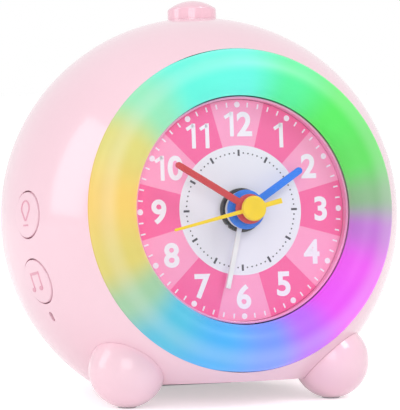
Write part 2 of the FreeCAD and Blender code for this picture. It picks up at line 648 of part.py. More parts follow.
def make_movement():
    """Movement case in two halves, the wheels inside it and its drive."""
    split = MOVE_FRONT_DEPTH - MOVE_SPLIT
    inner_front = MOVE_FRONT_DEPTH - MOVE_WALL
    inner_back = MOVE_BACK_DEPTH + MOVE_WALL
    front = move_block(split, MOVE_FRONT_DEPTH, 0).cut(move_block(split - 1, inner_front, MOVE_WALL))
    bush = disc(BUSH_R, inner_front, DIAL_DEPTH + NUT_T)
    front = join(front, bush).cut(disc(ALARM_TUBE_R + RUN, 0, 60))
    keep("movement_front", front)
    rear = move_block(MOVE_BACK_DEPTH, split, 0).cut(move_block(inner_back, split + 1, MOVE_WALL))
    bosses = []
    bores = []
    for x, z in (TIME_SHAFT, ALARM_SHAFT):
        bosses.append(disc(3.0, MOVE_BACK_DEPTH, inner_back + 1.6, x, z))
        bores.append(disc(SHAFT_R + RUN, 0, inner_back + 3, x, z))
    bosses.append(disc(1.4, MOVE_BACK_DEPTH, inner_back + 1.4))
    bores.append(disc(SECOND_ARBOR_R + FINE_RUN, inner_back, MOVE_FRONT_DEPTH + 2))
    x, z = ROTOR_PLACE
    bosses.append(disc(1.2, MOVE_BACK_DEPTH, inner_back + 0.6, x, z))
    bores.append(disc(ROTOR_PIN_R + FINE_RUN, inner_back - 0.4, MOVE_FRONT_DEPTH + 2, x, z))
    keep("movement_back", cut(join(rear, *bosses), *bores))
    alarm_back = inner_front - 1.5
    hour_back = alarm_back - 2.0
    minute_back = hour_back - 2.4
    second_back = minute_back - 3.6

    alarm_bore = HOUR_TUBE_R + RUN
    hub = tube(ALARM_TUBE_R, alarm_bore, alarm_back, hand_top("alarm_hand"))
    wheel = gear(ALARM_TEETH, MODULE, alarm_back, alarm_back + WHEEL_T, 0, 0, ALARM_SHAFT_ANGLE)
    keep("alarm_wheel", join(wheel.cut(disc(alarm_bore, 0, 60)), hub))

    hour_bore = MINUTE_TUBE_R + RUN
    hub = tube(HOUR_TUBE_R, hour_bore, hour_back, hand_top("hour_hand"))
    wheel = gear(HOUR_TEETH, HOUR_MODULE, hour_back, hour_back + WHEEL_T, 0, 0, TIME_SHAFT_ANGLE)
    keep("hour_wheel", join(wheel.cut(disc(hour_bore, 0, 60)), hub))

    minute_bore = SECOND_ARBOR_R + FINE_RUN
    hub = tube(MINUTE_TUBE_R, minute_bore, minute_back - 0.6, hand_top("minute_hand"))
    wheel = gear(CANNON_TEETH, MODULE, minute_back, minute_back + 1.4, 0, 0, TIME_SHAFT_ANGLE)
    keep("cannon_pinion", join(wheel.cut(disc(minute_bore, 0, 60)), hub))

    arbor = disc(SECOND_ARBOR_R, inner_back + 0.1, hand_top("second_hand") + 0.5)
    wheel = gear(SECOND_TEETH, SECOND_MODULE, second_back, second_back + 0.8, 0, 0, ROTOR_ANGLE)
    keep("second_wheel", join(wheel, arbor))

    x, z = TIME_SHAFT
    towards = TIME_SHAFT_ANGLE + 180
    big = gear(MINUTE_TEETH, MODULE, minute_back + 0.3, minute_back + 1.1, x, z,
               meshed(MINUTE_TEETH, towards))
    small = gear(HOUR_PINION_TEETH, HOUR_MODULE, minute_back + 1.1, hour_back + 1.2, x, z,
                 meshed(HOUR_PINION_TEETH, towards))
    rod = disc(SHAFT_R, -KNOB_SEAT_Y - KNOB_SOCKET, minute_back + 0.3, x, z)
    keep("time_shaft", join(big, small, rod))

    x, z = ALARM_SHAFT
    towards = ALARM_SHAFT_ANGLE + 180
    pinion = gear(ALARM_PINION_TEETH, MODULE, alarm_back - 0.3, alarm_back + 1.2, x, z,
                  meshed(ALARM_PINION_TEETH, towards))
    rod = disc(SHAFT_R, -KNOB_SEAT_Y - KNOB_SOCKET, alarm_back, x, z)
    keep("alarm_shaft", join(pinion, rod))

    x, z = ROTOR_PLACE
    pinion = gear(ROTOR_TEETH, SECOND_MODULE, second_back - 0.4, second_back + 1.2, x, z,
                  meshed(ROTOR_TEETH, ROTOR_ANGLE + 180))
    magnet = disc(ROTOR_R, second_back - 2.0, second_back - 0.4, x, z)
    pin = disc(ROTOR_PIN_R, inner_back - 0.3, second_back + 1.6, x, z)
    keep("rotor", join(pinion, magnet, pin))

    stator_t = 2.0
    bobbin_r = 3.2
    bobbin_l = 22.0
    coil_z = z - ROTOR_R - bobbin_r - 0.2
    stator = block(30.0, 3.0, inner_back, inner_back + stator_t, 0, coil_z)
    bobbin_start = V(-bobbin_l / 2, -(inner_back + stator_t + bobbin_r - 0.6), coil_z)
    keep("coil", join(stator, Part.makeCylinder(bobbin_r, bobbin_l, bobbin_start, V(1, 0, 0))))


def make_hands():
    """The four hands and the cap that covers the second hand's hub."""
    bores = {"alarm_hand": ALARM_TUBE_R, "hour_hand": HOUR_TUBE_R, "minute_hand": MINUTE_TUBE_R,
             "second_hand": SECOND_ARBOR_R}
    for name, bore_r in bores.items():
        keep(name, make_hand(name, bore_r))
    back = hand_top("second_hand")
    cap = disc(CAP_R, back, DIAL_DEPTH + CAP_TOP)
    rim = [e for e in cap.Edges if abs(e.BoundBox.YMin + DIAL_DEPTH + CAP_TOP) < 0.01 and e.Length > 15]
    cap = cap.makeFillet(0.4, rim[:1]).cut(disc(SECOND_ARBOR_R, back - 1, back + 0.5))
    keep("hand_cap", cap)


def make_knobs():
    """Two ribbed knobs on the back, each pressed on its shaft."""
    for name, (x, z) in (("time_knob", TIME_SHAFT), ("alarm_knob", ALARM_SHAFT)):
        far = KNOB_SEAT_Y + KNOB_T
        body = disc(KNOB_R, -far, -KNOB_SEAT_Y, x, z)
        rim = [e for e in body.Edges if abs(e.BoundBox.YMax - far) < 0.01 and e.Length > 30]
        body = body.makeFillet(0.8, rim[:1])
        grooves = []
        for n in range(KNOB_RIBS):
            gx, gz = around(360.0 * n / KNOB_RIBS, KNOB_R + 0.25)
            grooves.append(disc(0.55, -far - 1, -KNOB_SEAT_Y - 1.2, x + gx, z + gz))
        bore = disc(SHAFT_R, -KNOB_SEAT_Y - KNOB_SOCKET, -KNOB_SEAT_Y + 1, x, z)
        keep(name, cut(body, bore, *grooves))


def make_buttons():
    """Snooze button on top and the two round buttons on the flank."""
    low = SNOOZE_COLLAR_TOP - 0.5
    cap = Part.makeCylinder(SNOOZE_R, SNOOZE_TOP - low, V(0, 0, low))
    cap = cap.common(Part.makeSphere(SNOOZE_CROWN_R, V(0, 0, SNOOZE_TOP - SNOOZE_CROWN_R)))
    collar = Part.makeCylinder(SNOOZE_COLLAR_R, COLLAR_T, V(0, 0, SNOOZE_COLLAR_TOP - COLLAR_T))
    body = Part.makeCylinder(SNOOZE_R, SNOOZE_TOP - SNOOZE_EDGE_DROP - low, V(0, 0, low))
    stem = Part.makeCylinder(STEM_R, SNOOZE_COLLAR_TOP - SNOOZE_STEM_LOW, V(0, 0, SNOOZE_STEM_LOW))
    keep("snooze_button", join(body, cap, collar, stem))
    for name, rise in (("light_button", LIGHT_RISE), ("music_button", -MUSIC_RISE)):
        head = side_rod(SIDE_R, rise, SIDE_COLLAR_OUT - COLLAR_T, 70).common(ball(BALL_R + SIDE_PROUD))
        collar = side_rod(SIDE_COLLAR_R, rise, SIDE_COLLAR_OUT - COLLAR_T, SIDE_COLLAR_OUT)
        stem = side_rod(STEM_R, rise, SIDE_STEM_IN, SIDE_COLLAR_OUT)
        keep(name, join(head, collar, stem))


def make_button_boards():
    """Small circuit boards behind the buttons, with their push switches."""
    high = SNOOZE_BOARD_TOP
    board = Part.makeBox(2 * SNOOZE_POST_X + 6, 12, BOARD_T, V(-SNOOZE_POST_X - 3, -6, high - BOARD_T))
    keep("snooze_board", board)
    keep("snooze_switch", tact_switch(V(0, 0, high), V(0, 0, 1)))
    ends = [side_spot(rise) for rise in SIDE_POSTS]
    length = (ends[0] - ends[1]).Length + 6
    box = Part.makeBox(11, BOARD_T, length, V(-5.5, -BOARD_T / 2, -length / 2))
    along = (side_spot(LIGHT_RISE) - side_spot(-MUSIC_RISE)).normalize()
    third = SIDE_WAY.cross(along)
    columns = (third, SIDE_WAY, along)
    rows = [[column[n] for column in columns] + [0] for n in range(3)]
    box = box.transformed(FreeCAD.Matrix(*(rows[0] + rows[1] + rows[2] + [0, 0, 0, 1])))
    box.translate((ends[0] + ends[1]) * 0.5 + SIDE_WAY * (SIDE_BOARD_OUT - BOARD_T / 2))
    keep("side_board", box)
    switches = []
    for rise in (LIGHT_RISE, -MUSIC_RISE):
        switches.append(tact_switch(side_spot(rise) + SIDE_WAY * SIDE_BOARD_OUT, SIDE_WAY))
    keep("side_switches", *switches)


def make_feet():
    """Two round feet pegged and screwed to the ball, each with a rubber dot."""
    pads = []
    screws = []
    for name, side in (("left_foot", -1), ("right_foot", 1)):
        centre = foot_centre(side)
        way = foot_screw_line(side)
        foot = Part.makeSphere(FOOT_R, centre).cut(ball(BALL_R + 0.05))
        plate = Part.makeBox(40, 60, 4, V(-20 + centre.x, -50, -FLAT_Z - 0.02))
        foot = foot.cut(plate.common(ball(BALL_R)))
        peg = Part.makeCylinder(PEG_R, 8.0, way * (INNER_R - 0.4), way)
        foot = join(foot, peg)
        sole = leaned(side * FOOT_X, -FOOT_Y, -GROUND)
        down = leaned(0, 0, 1)
        pad = Part.makeCylinder(PAD_R, PAD_T, sole, down)
        room = Part.makeCylinder(PAD_R, PAD_T + 5, sole - down * 5, down)
        bore = Part.makeCylinder(SCREW_R, 7.0, way * (INNER_R - 1.0), way)
        flat = ground_slab()
        flat.translate(down * 0.25)
        keep(name, cut(foot, room, bore, flat))
        pads.append(pad)
        screws.append(slotted_screw(SCREW_HEAD_T + 5.5, way * (INNER_R - 0.4 - SCREW_HEAD_T), way))
    keep("foot_pads", *pads)
    keep("foot_screws", *screws)
    corner = V(-REST_PAD_W / 2, REST_PAD_MIDDLE - REST_PAD_L / 2, -GROUND)
    rest = Part.makeBox(REST_PAD_W, REST_PAD_L, 12, corner)
    rest.rotate(V(0, 0, 0), V(1, 0, 0), LEAN)
    keep("rear_rest_pad", rest.cut(Part.makeBox(100, 100, 50, V(-50, -50, -FLAT_Z))))


def make_power():
    """Battery bay, cells, contacts and the door that covers them."""
    back = -BACK_Y + WALL
    front = back + BAY_DEPTH + BAY_WALL
    outer = block(BAY_W + 2 * BAY_WALL, BAY_H + 2 * BAY_WALL, back, front, 0, BAY_Z)
    bay = outer.cut(block(BAY_W, BAY_H, back - 1, front - BAY_WALL, 0, BAY_Z))
    keep("battery_bay", bay)
    cells = []
    contacts = []
    for n in range(CELL_COUNT):
        z = BAY_Z + (n - (CELL_COUNT - 1) / 2) * (2 * CELL_R + CELL_SPACE)
        y = -(back + BAY_DEPTH - CELL_R - 0.4)
        flip = 1 if n % 2 else -1
        can = Part.makeCylinder(CELL_R, CELL_L - 1.2, V(-flip * CELL_L / 2, y, z), V(flip, 0, 0))
        nub = Part.makeCylinder(1.8, 1.4, V(flip * (CELL_L / 2 - 1.4), y, z), V(flip, 0, 0))
        cells.append(join(can, nub))
        for end in (-1, 1):
            thick = (BAY_W - CELL_L) / 2 - 0.02
            left = end * (BAY_W / 2 - thick / 2) - thick / 2
            contacts.append(Part.makeBox(thick, 7.0, 8.0, V(left, y - 3.5, z - 4)))
    keep("batteries", *cells)
    keep("battery_contacts", *contacts)
    door = block(BAY_W - 2 * SLIP, BAY_H - 2 * SLIP, -BACK_Y, -BACK_Y + DOOR_T, 0, BAY_Z)
    tab = disc(DOOR_TAB_R, -BACK_Y - DOOR_TAB_T, -BACK_Y, 0, DOOR_SCREW_Z)
    bridge = block(2 * DOOR_TAB_R, 6.0, -BACK_Y - DOOR_TAB_T, -BACK_Y, 0, DOOR_SCREW_Z + 3.0)
    top = BAY_Z + BAY_H / 2
    tongue = [block(5, 3.0, back + 0.1, back + 1.1, x, top - 0.4) for x in DOOR_CLIPS]
    roots = [block(5, 1.5, -BACK_Y + DOOR_T - 0.2, back + 1.1, x, top - 1.15) for x in DOOR_CLIPS]
    slots = [block(5.4, 3.6, back, back + 1.3, x, top) for x in DOOR_CLIPS]
    FINISHED["battery_bay"] = cut(bay, *slots)
    hole = disc(SCREW_R + 0.05, -BACK_Y - 3, -BACK_Y + 3, 0, DOOR_SCREW_Z)
    keep("battery_door", join(door, tab, bridge, *(tongue + roots)).cut(hole))
    place = V(0, BACK_Y + DOOR_TAB_T + SCREW_HEAD_T, DOOR_SCREW_Z)
    keep("door_screw", slotted_screw(SCREW_HEAD_T + DOOR_TAB_T + WALL - 0.4, place, V(0, -1, 0)))


def make_electronics():
    """Main circuit board on posts, speaker, and the alarm slide switch."""
    bay_front = -BACK_Y + WALL + BAY_DEPTH + BAY_WALL
    low = bay_front + 3.0
    posts = [disc(1.8, bay_front, low, x, BAY_Z + z) for x in (-19, 19) for z in (-13, 11)]
    FINISHED["battery_bay"] = join(FINISHED["battery_bay"], *posts)
    keep("main_board", block(46, 32, low, low + BOARD_T, 0, BAY_Z - 1.0))
    chips = [block(9, 9, low + BOARD_T, low + BOARD_T + 1.4, -8, BAY_Z)]
    chips.append(disc(3.2, low + BOARD_T, low + BOARD_T + 9.0, 10, BAY_Z - 6))
    chips.append(block(8, 5, low + BOARD_T, low + BOARD_T + 4.0, 14, BAY_Z + 7))
    keep("board_components", *chips)
    back = -BACK_Y + WALL
    basket = disc(SPEAKER_R, back, back + 2.2, 0, SPEAKER_Z)
    basket = basket.cut(disc(SPEAKER_R - 1.6, back - 1, back + 1.2, 0, SPEAKER_Z))
    magnet = disc(SPEAKER_R * 0.55, back + 2.0, back + SPEAKER_T, 0, SPEAKER_Z)
    keep("speaker", join(basket, magnet))
    top = SWITCH_Z + SWITCH_TRAVEL / 2
    thumb = block(SWITCH_W - 1.0, SWITCH_L - 1.6, -BACK_Y - 1.6, -BACK_Y + WALL + GAP, SWITCH_X, top)
    ridge = [block(SWITCH_W, 0.5, -BACK_Y - 3, -BACK_Y - 1.1, SWITCH_X, top + s) for s in (-0.9, 0.0, 0.9)]
    slider = block(SWITCH_W + 1.2, SWITCH_L, back + GAP, back + GAP + 1.0, SWITCH_X, top)
    keep("alarm_switch", join(thumb.cut(ridge), slider))
    body_back = back + GAP + 1.0 + GAP
    keep("switch_body", switch_housing(back, body_back))


def switch_housing(back, body_back):
    """Fixed metal housing that holds the sliding alarm switch to the back wall."""
    width = SWITCH_W + 1.2 + 2 * GAP + 2.0
    height = SWITCH_L + SWITCH_TRAVEL + 2 * GAP + 2.0
    shell = block(width, height, back, body_back + 3.0, SWITCH_X, SWITCH_Z)
    room = block(width - 2.0, height - 2.0, back - 1, body_back, SWITCH_X, SWITCH_Z)
    return shell.cut(room)


def make_screws():
    """Four long screws that pull the rear shell onto the front shell."""
    screws = []
    for x, z in CASE_SCREWS:
        head_y = BACK_Y - SCREW_SINK + SCREW_HEAD_T
        screws.append(slotted_screw(head_y - SEAM_Y + SCREW_BITE, V(x, head_y, z), V(0, -1, 0)))
    keep("case_screws", *screws)


def stand_and_save():
    """Lean every piece back, stand the clock on its feet and write the files."""
    os.makedirs("parts", exist_ok=True)
    for shape in FINISHED.values():
        shape.rotate(V(0, 0, 0), V(1, 0, 0), -LEAN)
    whole = FreeCAD.BoundBox()
    for shape in FINISHED.values():
        whole.add(shape.optimalBoundingBox(False))
    shift = V(-(whole.XMin + whole.XMax) / 2, -(whole.YMin + whole.YMax) / 2, -whole.ZMin)
    for name, shape in FINISHED.items():
        shape.translate(shift)
        shape.exportStep("parts/" + name + ".step")
    BALL_CENTRE.x, BALL_CENTRE.y, BALL_CENTRE.z = shift.x, shift.y, shift.z
    print("pieces", len(FINISHED), "size", whole.XLength, whole.YLength, whole.ZLength)
    print("ball centre", shift.x, shift.y, shift.z)


keep("front_shell", make_front_shell())
keep("rear_shell", make_rear_shell())
make_screws()
make_ring_parts()
make_dial_parts()
make_movement()
make_hands()
make_knobs()
make_buttons()
make_button_boards()
make_feet()
make_power()
make_electronics()
stand_and_save()
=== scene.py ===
# %% [markdown]
# A ball-shaped alarm clock with a glowing ring round its dial.
# The construction is already fixed: every working piece comes in as a frame, at
# its real size in metres. This script gives the pieces their finished surfaces.
# A finished piece either keeps its frame shape and gets a better material, or it
# stands in for that shape with a smoother one of the same size.

import json
import math

import bmesh
import bpy
from mathutils import Matrix, Vector


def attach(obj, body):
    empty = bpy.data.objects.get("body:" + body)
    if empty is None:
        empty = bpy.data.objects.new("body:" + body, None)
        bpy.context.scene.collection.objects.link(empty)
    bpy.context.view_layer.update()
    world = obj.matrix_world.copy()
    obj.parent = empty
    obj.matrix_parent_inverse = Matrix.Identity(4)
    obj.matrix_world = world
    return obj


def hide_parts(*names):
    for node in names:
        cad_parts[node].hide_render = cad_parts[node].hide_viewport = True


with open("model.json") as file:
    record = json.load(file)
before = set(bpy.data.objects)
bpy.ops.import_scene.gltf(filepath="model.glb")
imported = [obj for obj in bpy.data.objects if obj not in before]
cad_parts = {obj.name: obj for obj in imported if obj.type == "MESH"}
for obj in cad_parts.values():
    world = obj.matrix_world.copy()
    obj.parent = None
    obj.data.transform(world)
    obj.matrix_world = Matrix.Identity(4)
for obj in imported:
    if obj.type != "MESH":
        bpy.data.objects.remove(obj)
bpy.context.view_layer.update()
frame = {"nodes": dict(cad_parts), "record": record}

# %% [markdown]
# The clock leans back on its feet, so most pieces are easier to shape upright,
# about the centre of the ball, with the dial facing -Y and sizes in millimetres.
# One matrix then leans, scales and lifts a finished shape to its real place.
# The lean is read from the joint that turns the minute hand, and the ball's
# centre from where that joint sits, so nothing here is fitted by eye.

# %% upright space
MM = 0.001
BALL_R = 55.0
WALL = 2.4
SEAM_Y = 20.0
BACK_Y = 36.0
FLAT_Z = 45.6

joints = {j["name"]: j for j in frame["record"]["behaviour"]["joints"]}
spindle = joints["minute_hand_turn"]
lean = math.asin(spindle["axis"][2])
ball_centre = Vector(spindle["pos_m"])
UPRIGHT = Matrix.Translation(ball_centre) @ Matrix.Rotation(-lean, 4, "X") @ Matrix.Scale(MM, 4)
print("lean in degrees", round(math.degrees(lean), 2), "ball centre", tuple(ball_centre))


def clock_point(angle, radius, depth):
    """A place over the dial: clockwise angle from twelve, radius, depth in front of the ball's centre."""
    a = math.radians(angle)
    return Vector((radius * math.sin(a), -depth, radius * math.cos(a)))


# %% [markdown]
# The camera comes first, because every later judgement is made through it. The
# clock was photographed from a little to its own left and slightly above, from
# about seven ball widths away, so the lens is long and the circles stay round.

# %% camera
VIEW_TURN = 20.0
VIEW_RISE = 3.5
VIEW_AWAY = 0.700
FRAME_LONG_SIDE_PX = 410
FOCAL_PX = 2516.0
SENSOR_MM = 36.0
AIM_UP = 11.0 * VIEW_AWAY / FOCAL_PX
AIM_RIGHT = 1.0 * VIEW_AWAY / FOCAL_PX

turn = math.radians(VIEW_TURN)
rise = math.radians(VIEW_RISE)
out = Vector((-math.sin(turn) * math.cos(rise), -math.cos(turn) * math.cos(rise), math.sin(rise)))
right = Vector((math.cos(turn), -math.sin(turn), 0.0))
up = right.cross(-out)
eye = ball_centre + out * VIEW_AWAY
target = ball_centre + up * AIM_UP + right * AIM_RIGHT

camera_data = bpy.data.cameras.new("photo_camera")
camera_data.sensor_width = SENSOR_MM
camera_data.lens = FOCAL_PX * SENSOR_MM / FRAME_LONG_SIDE_PX
camera_data.clip_start = 0.01
camera_data.clip_end = 20.0
camera = bpy.data.objects.new("photo_camera", camera_data)
camera.location = eye
camera.rotation_euler = (target - eye).to_track_quat("-Z", "Y").to_euler()
bpy.context.scene.collection.objects.link(camera)
bpy.context.scene.camera = camera
bpy.context.scene.view_settings.view_transform = "Standard"
print("lens", round(camera_data.lens, 1), "mm")

# %% [markdown]
# Shader sums are easier to read as sums. This small class holds one output of a
# node and turns +, -, * and / into Math nodes. Any other node is made by one
# method that takes its type, its settings and what goes into its sockets.

# %% shader helpers


class Value:
    """One number that varies over a surface."""

    def __init__(self, finish, socket):
        self.finish = finish
        self.socket = socket

    def _math(self, operation, *others):
        node = self.finish.node("ShaderNodeMath", {"operation": operation}, dict(enumerate((self,) + others)))
        return Value(self.finish, node.outputs[0])

    def __add__(self, other):
        return self._math("ADD", other)

    def __radd__(self, other):
        return self._math("ADD", other)

    def __sub__(self, other):
        return self._math("SUBTRACT", other)

    def __rsub__(self, other):
        return (self * -1.0)._math("ADD", other)

    def __mul__(self, other):
        return self._math("MULTIPLY", other)

    def __rmul__(self, other):
        return self._math("MULTIPLY", other)

    def __truediv__(self, other):
        return self._math("DIVIDE", other)

    def over(self, low, high):
        """0 below low, 1 above high, and a smooth step between."""
        settings = {"interpolation_type": "SMOOTHSTEP"}
        node = self.finish.node("ShaderNodeMapRange", settings, {"Value": self, "From Min": low, "From Max": high})
        return Value(self.finish, node.outputs[0])


class Finish:
    """One material, with the nodes that make its surface."""

    def __init__(self, name, **constants):
        self.material = bpy.data.materials.new(name)
        self.material.use_nodes = True
        self.tree = self.material.node_tree
        self.shader = self.tree.nodes["Principled BSDF"]
        for socket, value in constants.items():
            self.shader.inputs[socket.replace("_", " ")].default_value = value

    def node(self, kind, settings=None, inputs=None):
        made = self.tree.nodes.new(kind)
        for key, value in (settings or {}).items():
            setattr(made, key, value)
        for key, value in (inputs or {}).items():
            socket = made.inputs[key]
            if isinstance(value, Value):
                self.tree.links.new(value.socket, socket)
            elif isinstance(value, bpy.types.NodeSocket):
                self.tree.links.new(value, socket)
            else:
                socket.default_value = value
        return made

    def place(self):
        """The point on the piece, in metres in the clock's own frame."""
        return self.node("ShaderNodeTexCoord").outputs["Object"]

    def noise(self, scale, detail=2.0, vector=None):
        made = self.node("ShaderNodeTexNoise", None, {
            "Vector": vector or self.place(), "Scale": scale, "Detail": detail, "Roughness": 0.5})
        return Value(self, made.outputs["Fac"])

    def ramp(self, value, stops, interpolation="LINEAR"):
        made = self.node("ShaderNodeValToRGB", None, {"Fac": value})
        made.color_ramp.interpolation = interpolation
        marks = made.color_ramp.elements
        while len(marks) < len(stops):
            marks.new(0.5)
        for mark, (position, colour) in zip(marks, stops):
            mark.position = position
            mark.color = colour
        return made.outputs["Color"]

    def mix(self, factor, first, second):
        made = self.node("ShaderNodeMix", {"data_type": "RGBA"}, {0: factor, 6: first, 7: second})
        return made.outputs[2]

    def feed(self, name, value):
        socket = self.shader.inputs[name]
        self.tree.links.new(value.socket if isinstance(value, Value) else value, socket)

    def bump(self, height, distance, strength=1.0):
        made = self.node("ShaderNodeBump", None, {"Height": height, "Distance": distance, "Strength": strength})
        self.feed("Normal", made.outputs["Normal"])


def tone(red, green, blue):
    """A colour written as it looks on a screen, 0 to 255, turned into light."""
    def light(level):
        level = level / 255.0
        return level / 12.92 if level <= 0.04045 else ((level + 0.055) / 1.055) ** 2.4
    return (light(red), light(green), light(blue), 1.0)


def shade(colour, amount):
    """The same colour, lighter or darker."""
    return tuple(min(1.0, c * amount) for c in colour[:3]) + (1.0,)


print("helpers ready")

# %% [markdown]
# Moulded plastic is never one flat value. The tint drifts a little where the melt
# cooled, the gloss changes in soft patches where hands have polished it, and the
# skin has a very shallow waviness that only the highlights show. One function
# makes all the moulded finishes, from a strong gloss to a fine satin.

# %% moulded plastic


def moulded(name, colour, rough=0.2, drift=0.03, wave=0.00001, grain=0.0, coat=0.0, scatter=0.0):
    """Injection-moulded plastic in one colour."""
    finish = Finish(name, Roughness=rough, Coat_Weight=coat, Coat_Roughness=0.06)
    finish.shader.inputs["Subsurface Weight"].default_value = scatter
    finish.shader.inputs["Subsurface Radius"].default_value = (0.004, 0.002, 0.002)
    patches = finish.noise(28.0)
    finish.feed("Base Color", finish.mix(patches.over(0.3, 0.7), shade(colour, 1 - drift), shade(colour, 1 + drift)))
    polish = finish.noise(90.0, 3.0)
    finish.feed("Roughness", polish * (rough * 0.35) + rough * 0.82)
    height = finish.noise(60.0, 1.0)
    if grain:
        height = height + finish.noise(2500.0, 1.0) * grain
    finish.bump(height, wave)
    return finish.material


ball_pink = moulded("ball_pink", tone(255, 216, 228), 0.18, 0.012, 0.00001, coat=0.25)
snooze_pink = moulded("snooze_pink", tone(253, 206, 220), 0.12, 0.02, coat=0.5)
lilac_wall = moulded("lilac_wall", tone(250, 160, 205), 0.12, 0.05, coat=0.5)
white_plastic = moulded("white_plastic", tone(236, 236, 238), 0.35, 0.02)
knob_white = moulded("knob_white", tone(240, 238, 240), 0.28, 0.02, grain=0.4)
black_plastic = moulded("black_plastic", tone(22, 22, 26), 0.25, 0.2)
wheel_white = moulded("wheel_white", tone(226, 222, 210), 0.4, 0.04)
pad_rubber = moulded("pad_rubber", tone(200, 200, 205), 0.7, 0.05, 0.00003, grain=1.0)
board_green = moulded("board_green", tone(24, 110, 62), 0.35, 0.12)
cell_wrap = moulded("cell_wrap", tone(70, 92, 130), 0.3, 0.1)
print("plastics ready")

# %% [markdown]
# Painted hands are thin pressed metal under a satin lacquer, and the working metal
# inside is brighter and streaked along its rolling direction. Noise stretched
# along one axis makes the streaks.

# %% metal and paint


def painted(name, colour, rough=0.35):
    """A lacquered hand: strong colour with faint orange-peel."""
    finish = Finish(name, Roughness=rough)
    cloud = finish.noise(300.0, 2.0)
    finish.feed("Base Color", finish.mix(cloud.over(0.3, 0.7), shade(colour, 0.95), shade(colour, 1.04)))
    finish.feed("Roughness", finish.noise(700.0) * 0.1 + (rough - 0.05))
    finish.bump(finish.noise(1500.0, 1.0), 0.000004)
    return finish.material


def metal(name, colour, rough=0.3):
    """Rolled or turned bare metal with fine streaks."""
    finish = Finish(name, Metallic=1.0, Roughness=rough)
    stretch = finish.node("ShaderNodeMapping", None, {"Vector": finish.place(), "Scale": (1.0, 12.0, 1.0)})
    streak = finish.noise(900.0, 2.0, stretch.outputs[0])
    finish.feed("Base Color", finish.mix(streak, shade(colour, 0.85), shade(colour, 1.1)))
    finish.feed("Roughness", streak * 0.2 + (rough - 0.1))
    finish.bump(streak, 0.000006)
    return finish.material


hand_white = painted("hand_white", tone(240, 240, 243))
hand_blue = painted("hand_blue", tone(0, 122, 240))
hand_red = painted("hand_red", tone(203, 50, 58))
# a darker copy of the red lacquer for the hand's sides: painted shade; no piece uses it
hand_red_painted_side_shade = painted("hand_red_painted_side_shade", tone(140, 10, 14))
hand_yellow = painted("hand_yellow", tone(247, 212, 20))
screw_steel = metal("screw_steel", tone(205, 205, 210))
contact_steel = metal("contact_steel", tone(220, 220, 224), 0.22)
wheel_brass = metal("wheel_brass", tone(225, 190, 110), 0.25)
copper_coil = metal("copper_coil", tone(200, 120, 70), 0.35)
magnet_grey = metal("magnet_grey", tone(110, 112, 118), 0.4)
print("metals ready")

# %% [markdown]
# The lens is clear moulded plastic. A thin clear shell needs little bending of
# light, so a transparent mix keeps the dial crisp, and only the gloss shows.

# %% clear lens
lens_finish = Finish("lens_clear", Roughness=0.03, IOR=1.2)
lens_finish.shader.inputs["Alpha"].default_value = 0.02
haze = lens_finish.noise(40.0, 1.0)
lens_finish.feed("Base Color", lens_finish.mix(haze, tone(250, 252, 255), tone(255, 255, 255)))
lens_finish.feed("Roughness", haze * 0.02 + 0.02)
lens_clear = lens_finish.material
print("lens finish ready")

# %% [markdown]
# The ring glows in all colours of the rainbow. Its lamps sit behind a milky
# diffuser, so the colour runs smoothly round the ring. A paler band over the crown
# of the tube is a painted highlight, mixed into both its colour and its glow. The
# colour is a function of the clock angle, found from the object's own coordinates,
# and the painted highlight band a function of the distance from the dial's middle.

# %% glowing ring
RING_MID_R = 36.4
RING_MID_DEPTH = 33.5
RING_SECTION = 6.6
RAINBOW = [
    (0, (105, 250, 230)), (22, (88, 245, 160)), (45, (90, 238, 100)), (68, (100, 225, 100)),
    (86, (140, 185, 140)), (100, (195, 120, 215)), (118, (240, 95, 245)), (138, (238, 88, 250)),
    (155, (190, 110, 255)), (172, (120, 155, 255)), (195, (75, 180, 248)), (218, (85, 195, 225)),
    (235, (160, 205, 165)), (250, (225, 210, 115)), (275, (245, 208, 110)), (298, (225, 218, 125)),
    (316, (150, 235, 190)), (335, (100, 248, 225))]
ring_finish = Finish("ring_glow", Roughness=0.4, Coat_Weight=0.08, Coat_Roughness=0.3)


def upright_axes(finish):
    """A point's place across, in front of and above the ball's centre, in millimetres."""
    inverse = UPRIGHT.inverted()
    settle = finish.node("ShaderNodeMapping", None, {
        "Vector": finish.place(), "Location": inverse.to_translation(), "Rotation": inverse.to_euler(),
        "Scale": (1 / MM, 1 / MM, 1 / MM)})
    split = finish.node("ShaderNodeSeparateXYZ", None, {0: settle.outputs[0]})
    return Value(finish, split.outputs[0]), Value(finish, split.outputs[1]) * -1.0, Value(finish, split.outputs[2])


across, depth, height = upright_axes(ring_finish)
turned = across._math("ARCTAN2", height) / (2 * math.pi)
share = turned._math("FRACT")
stops = [(angle / 360.0, tone(*colour)) for angle, colour in RAINBOW] + [(1.0, tone(*RAINBOW[0][1]))]
rainbow = ring_finish.ramp(share, stops, "EASE")
radius = (across * across + height * height)._math("SQRT")
crown = (radius - RING_MID_R) / RING_SECTION
# painted highlight: a paler band over the crown of the tube, mixed towards white in both the colour and the glow
painted_highlight_band = crown.over(-0.1, 0.45) * (1.0 - crown.over(0.5, 0.95))
rainbow_and_painted_highlight = ring_finish.mix(painted_highlight_band * 0.12, rainbow, (1.0, 1.0, 1.0, 1.0))
milk = ring_finish.noise(120.0, 2.0)
ring_finish.feed("Base Color", ring_finish.mix(milk * 0.1 + 0.74, rainbow_and_painted_highlight, (0.0, 0.0, 0.0, 1.0)))
ring_finish.feed("Emission Color", rainbow_and_painted_highlight)
ring_finish.shader.inputs["Specular IOR Level"].default_value = 0.3
ring_finish.shader.inputs["Emission Strength"].default_value = 0.8
ring_finish.feed("Roughness", milk * 0.1 + 0.36)
ring_glow = ring_finish.material
print("ring finish ready, stops", len(stops))

# %% [markdown]
# Each modelled piece goes through one door: its mesh is leaned to its place, its
# normals are put right, it is given its material, it is hung on the body it rides
# on, and the frame pieces that it stands for are hidden.

# %% piece helper


def smooth_by_angle(mesh, limit=35.0):
    """Soft shading across gentle edges, crisp shading across sharp ones."""
    mesh.shade_smooth()
    mesh.set_sharp_from_angle(angle=math.radians(limit))


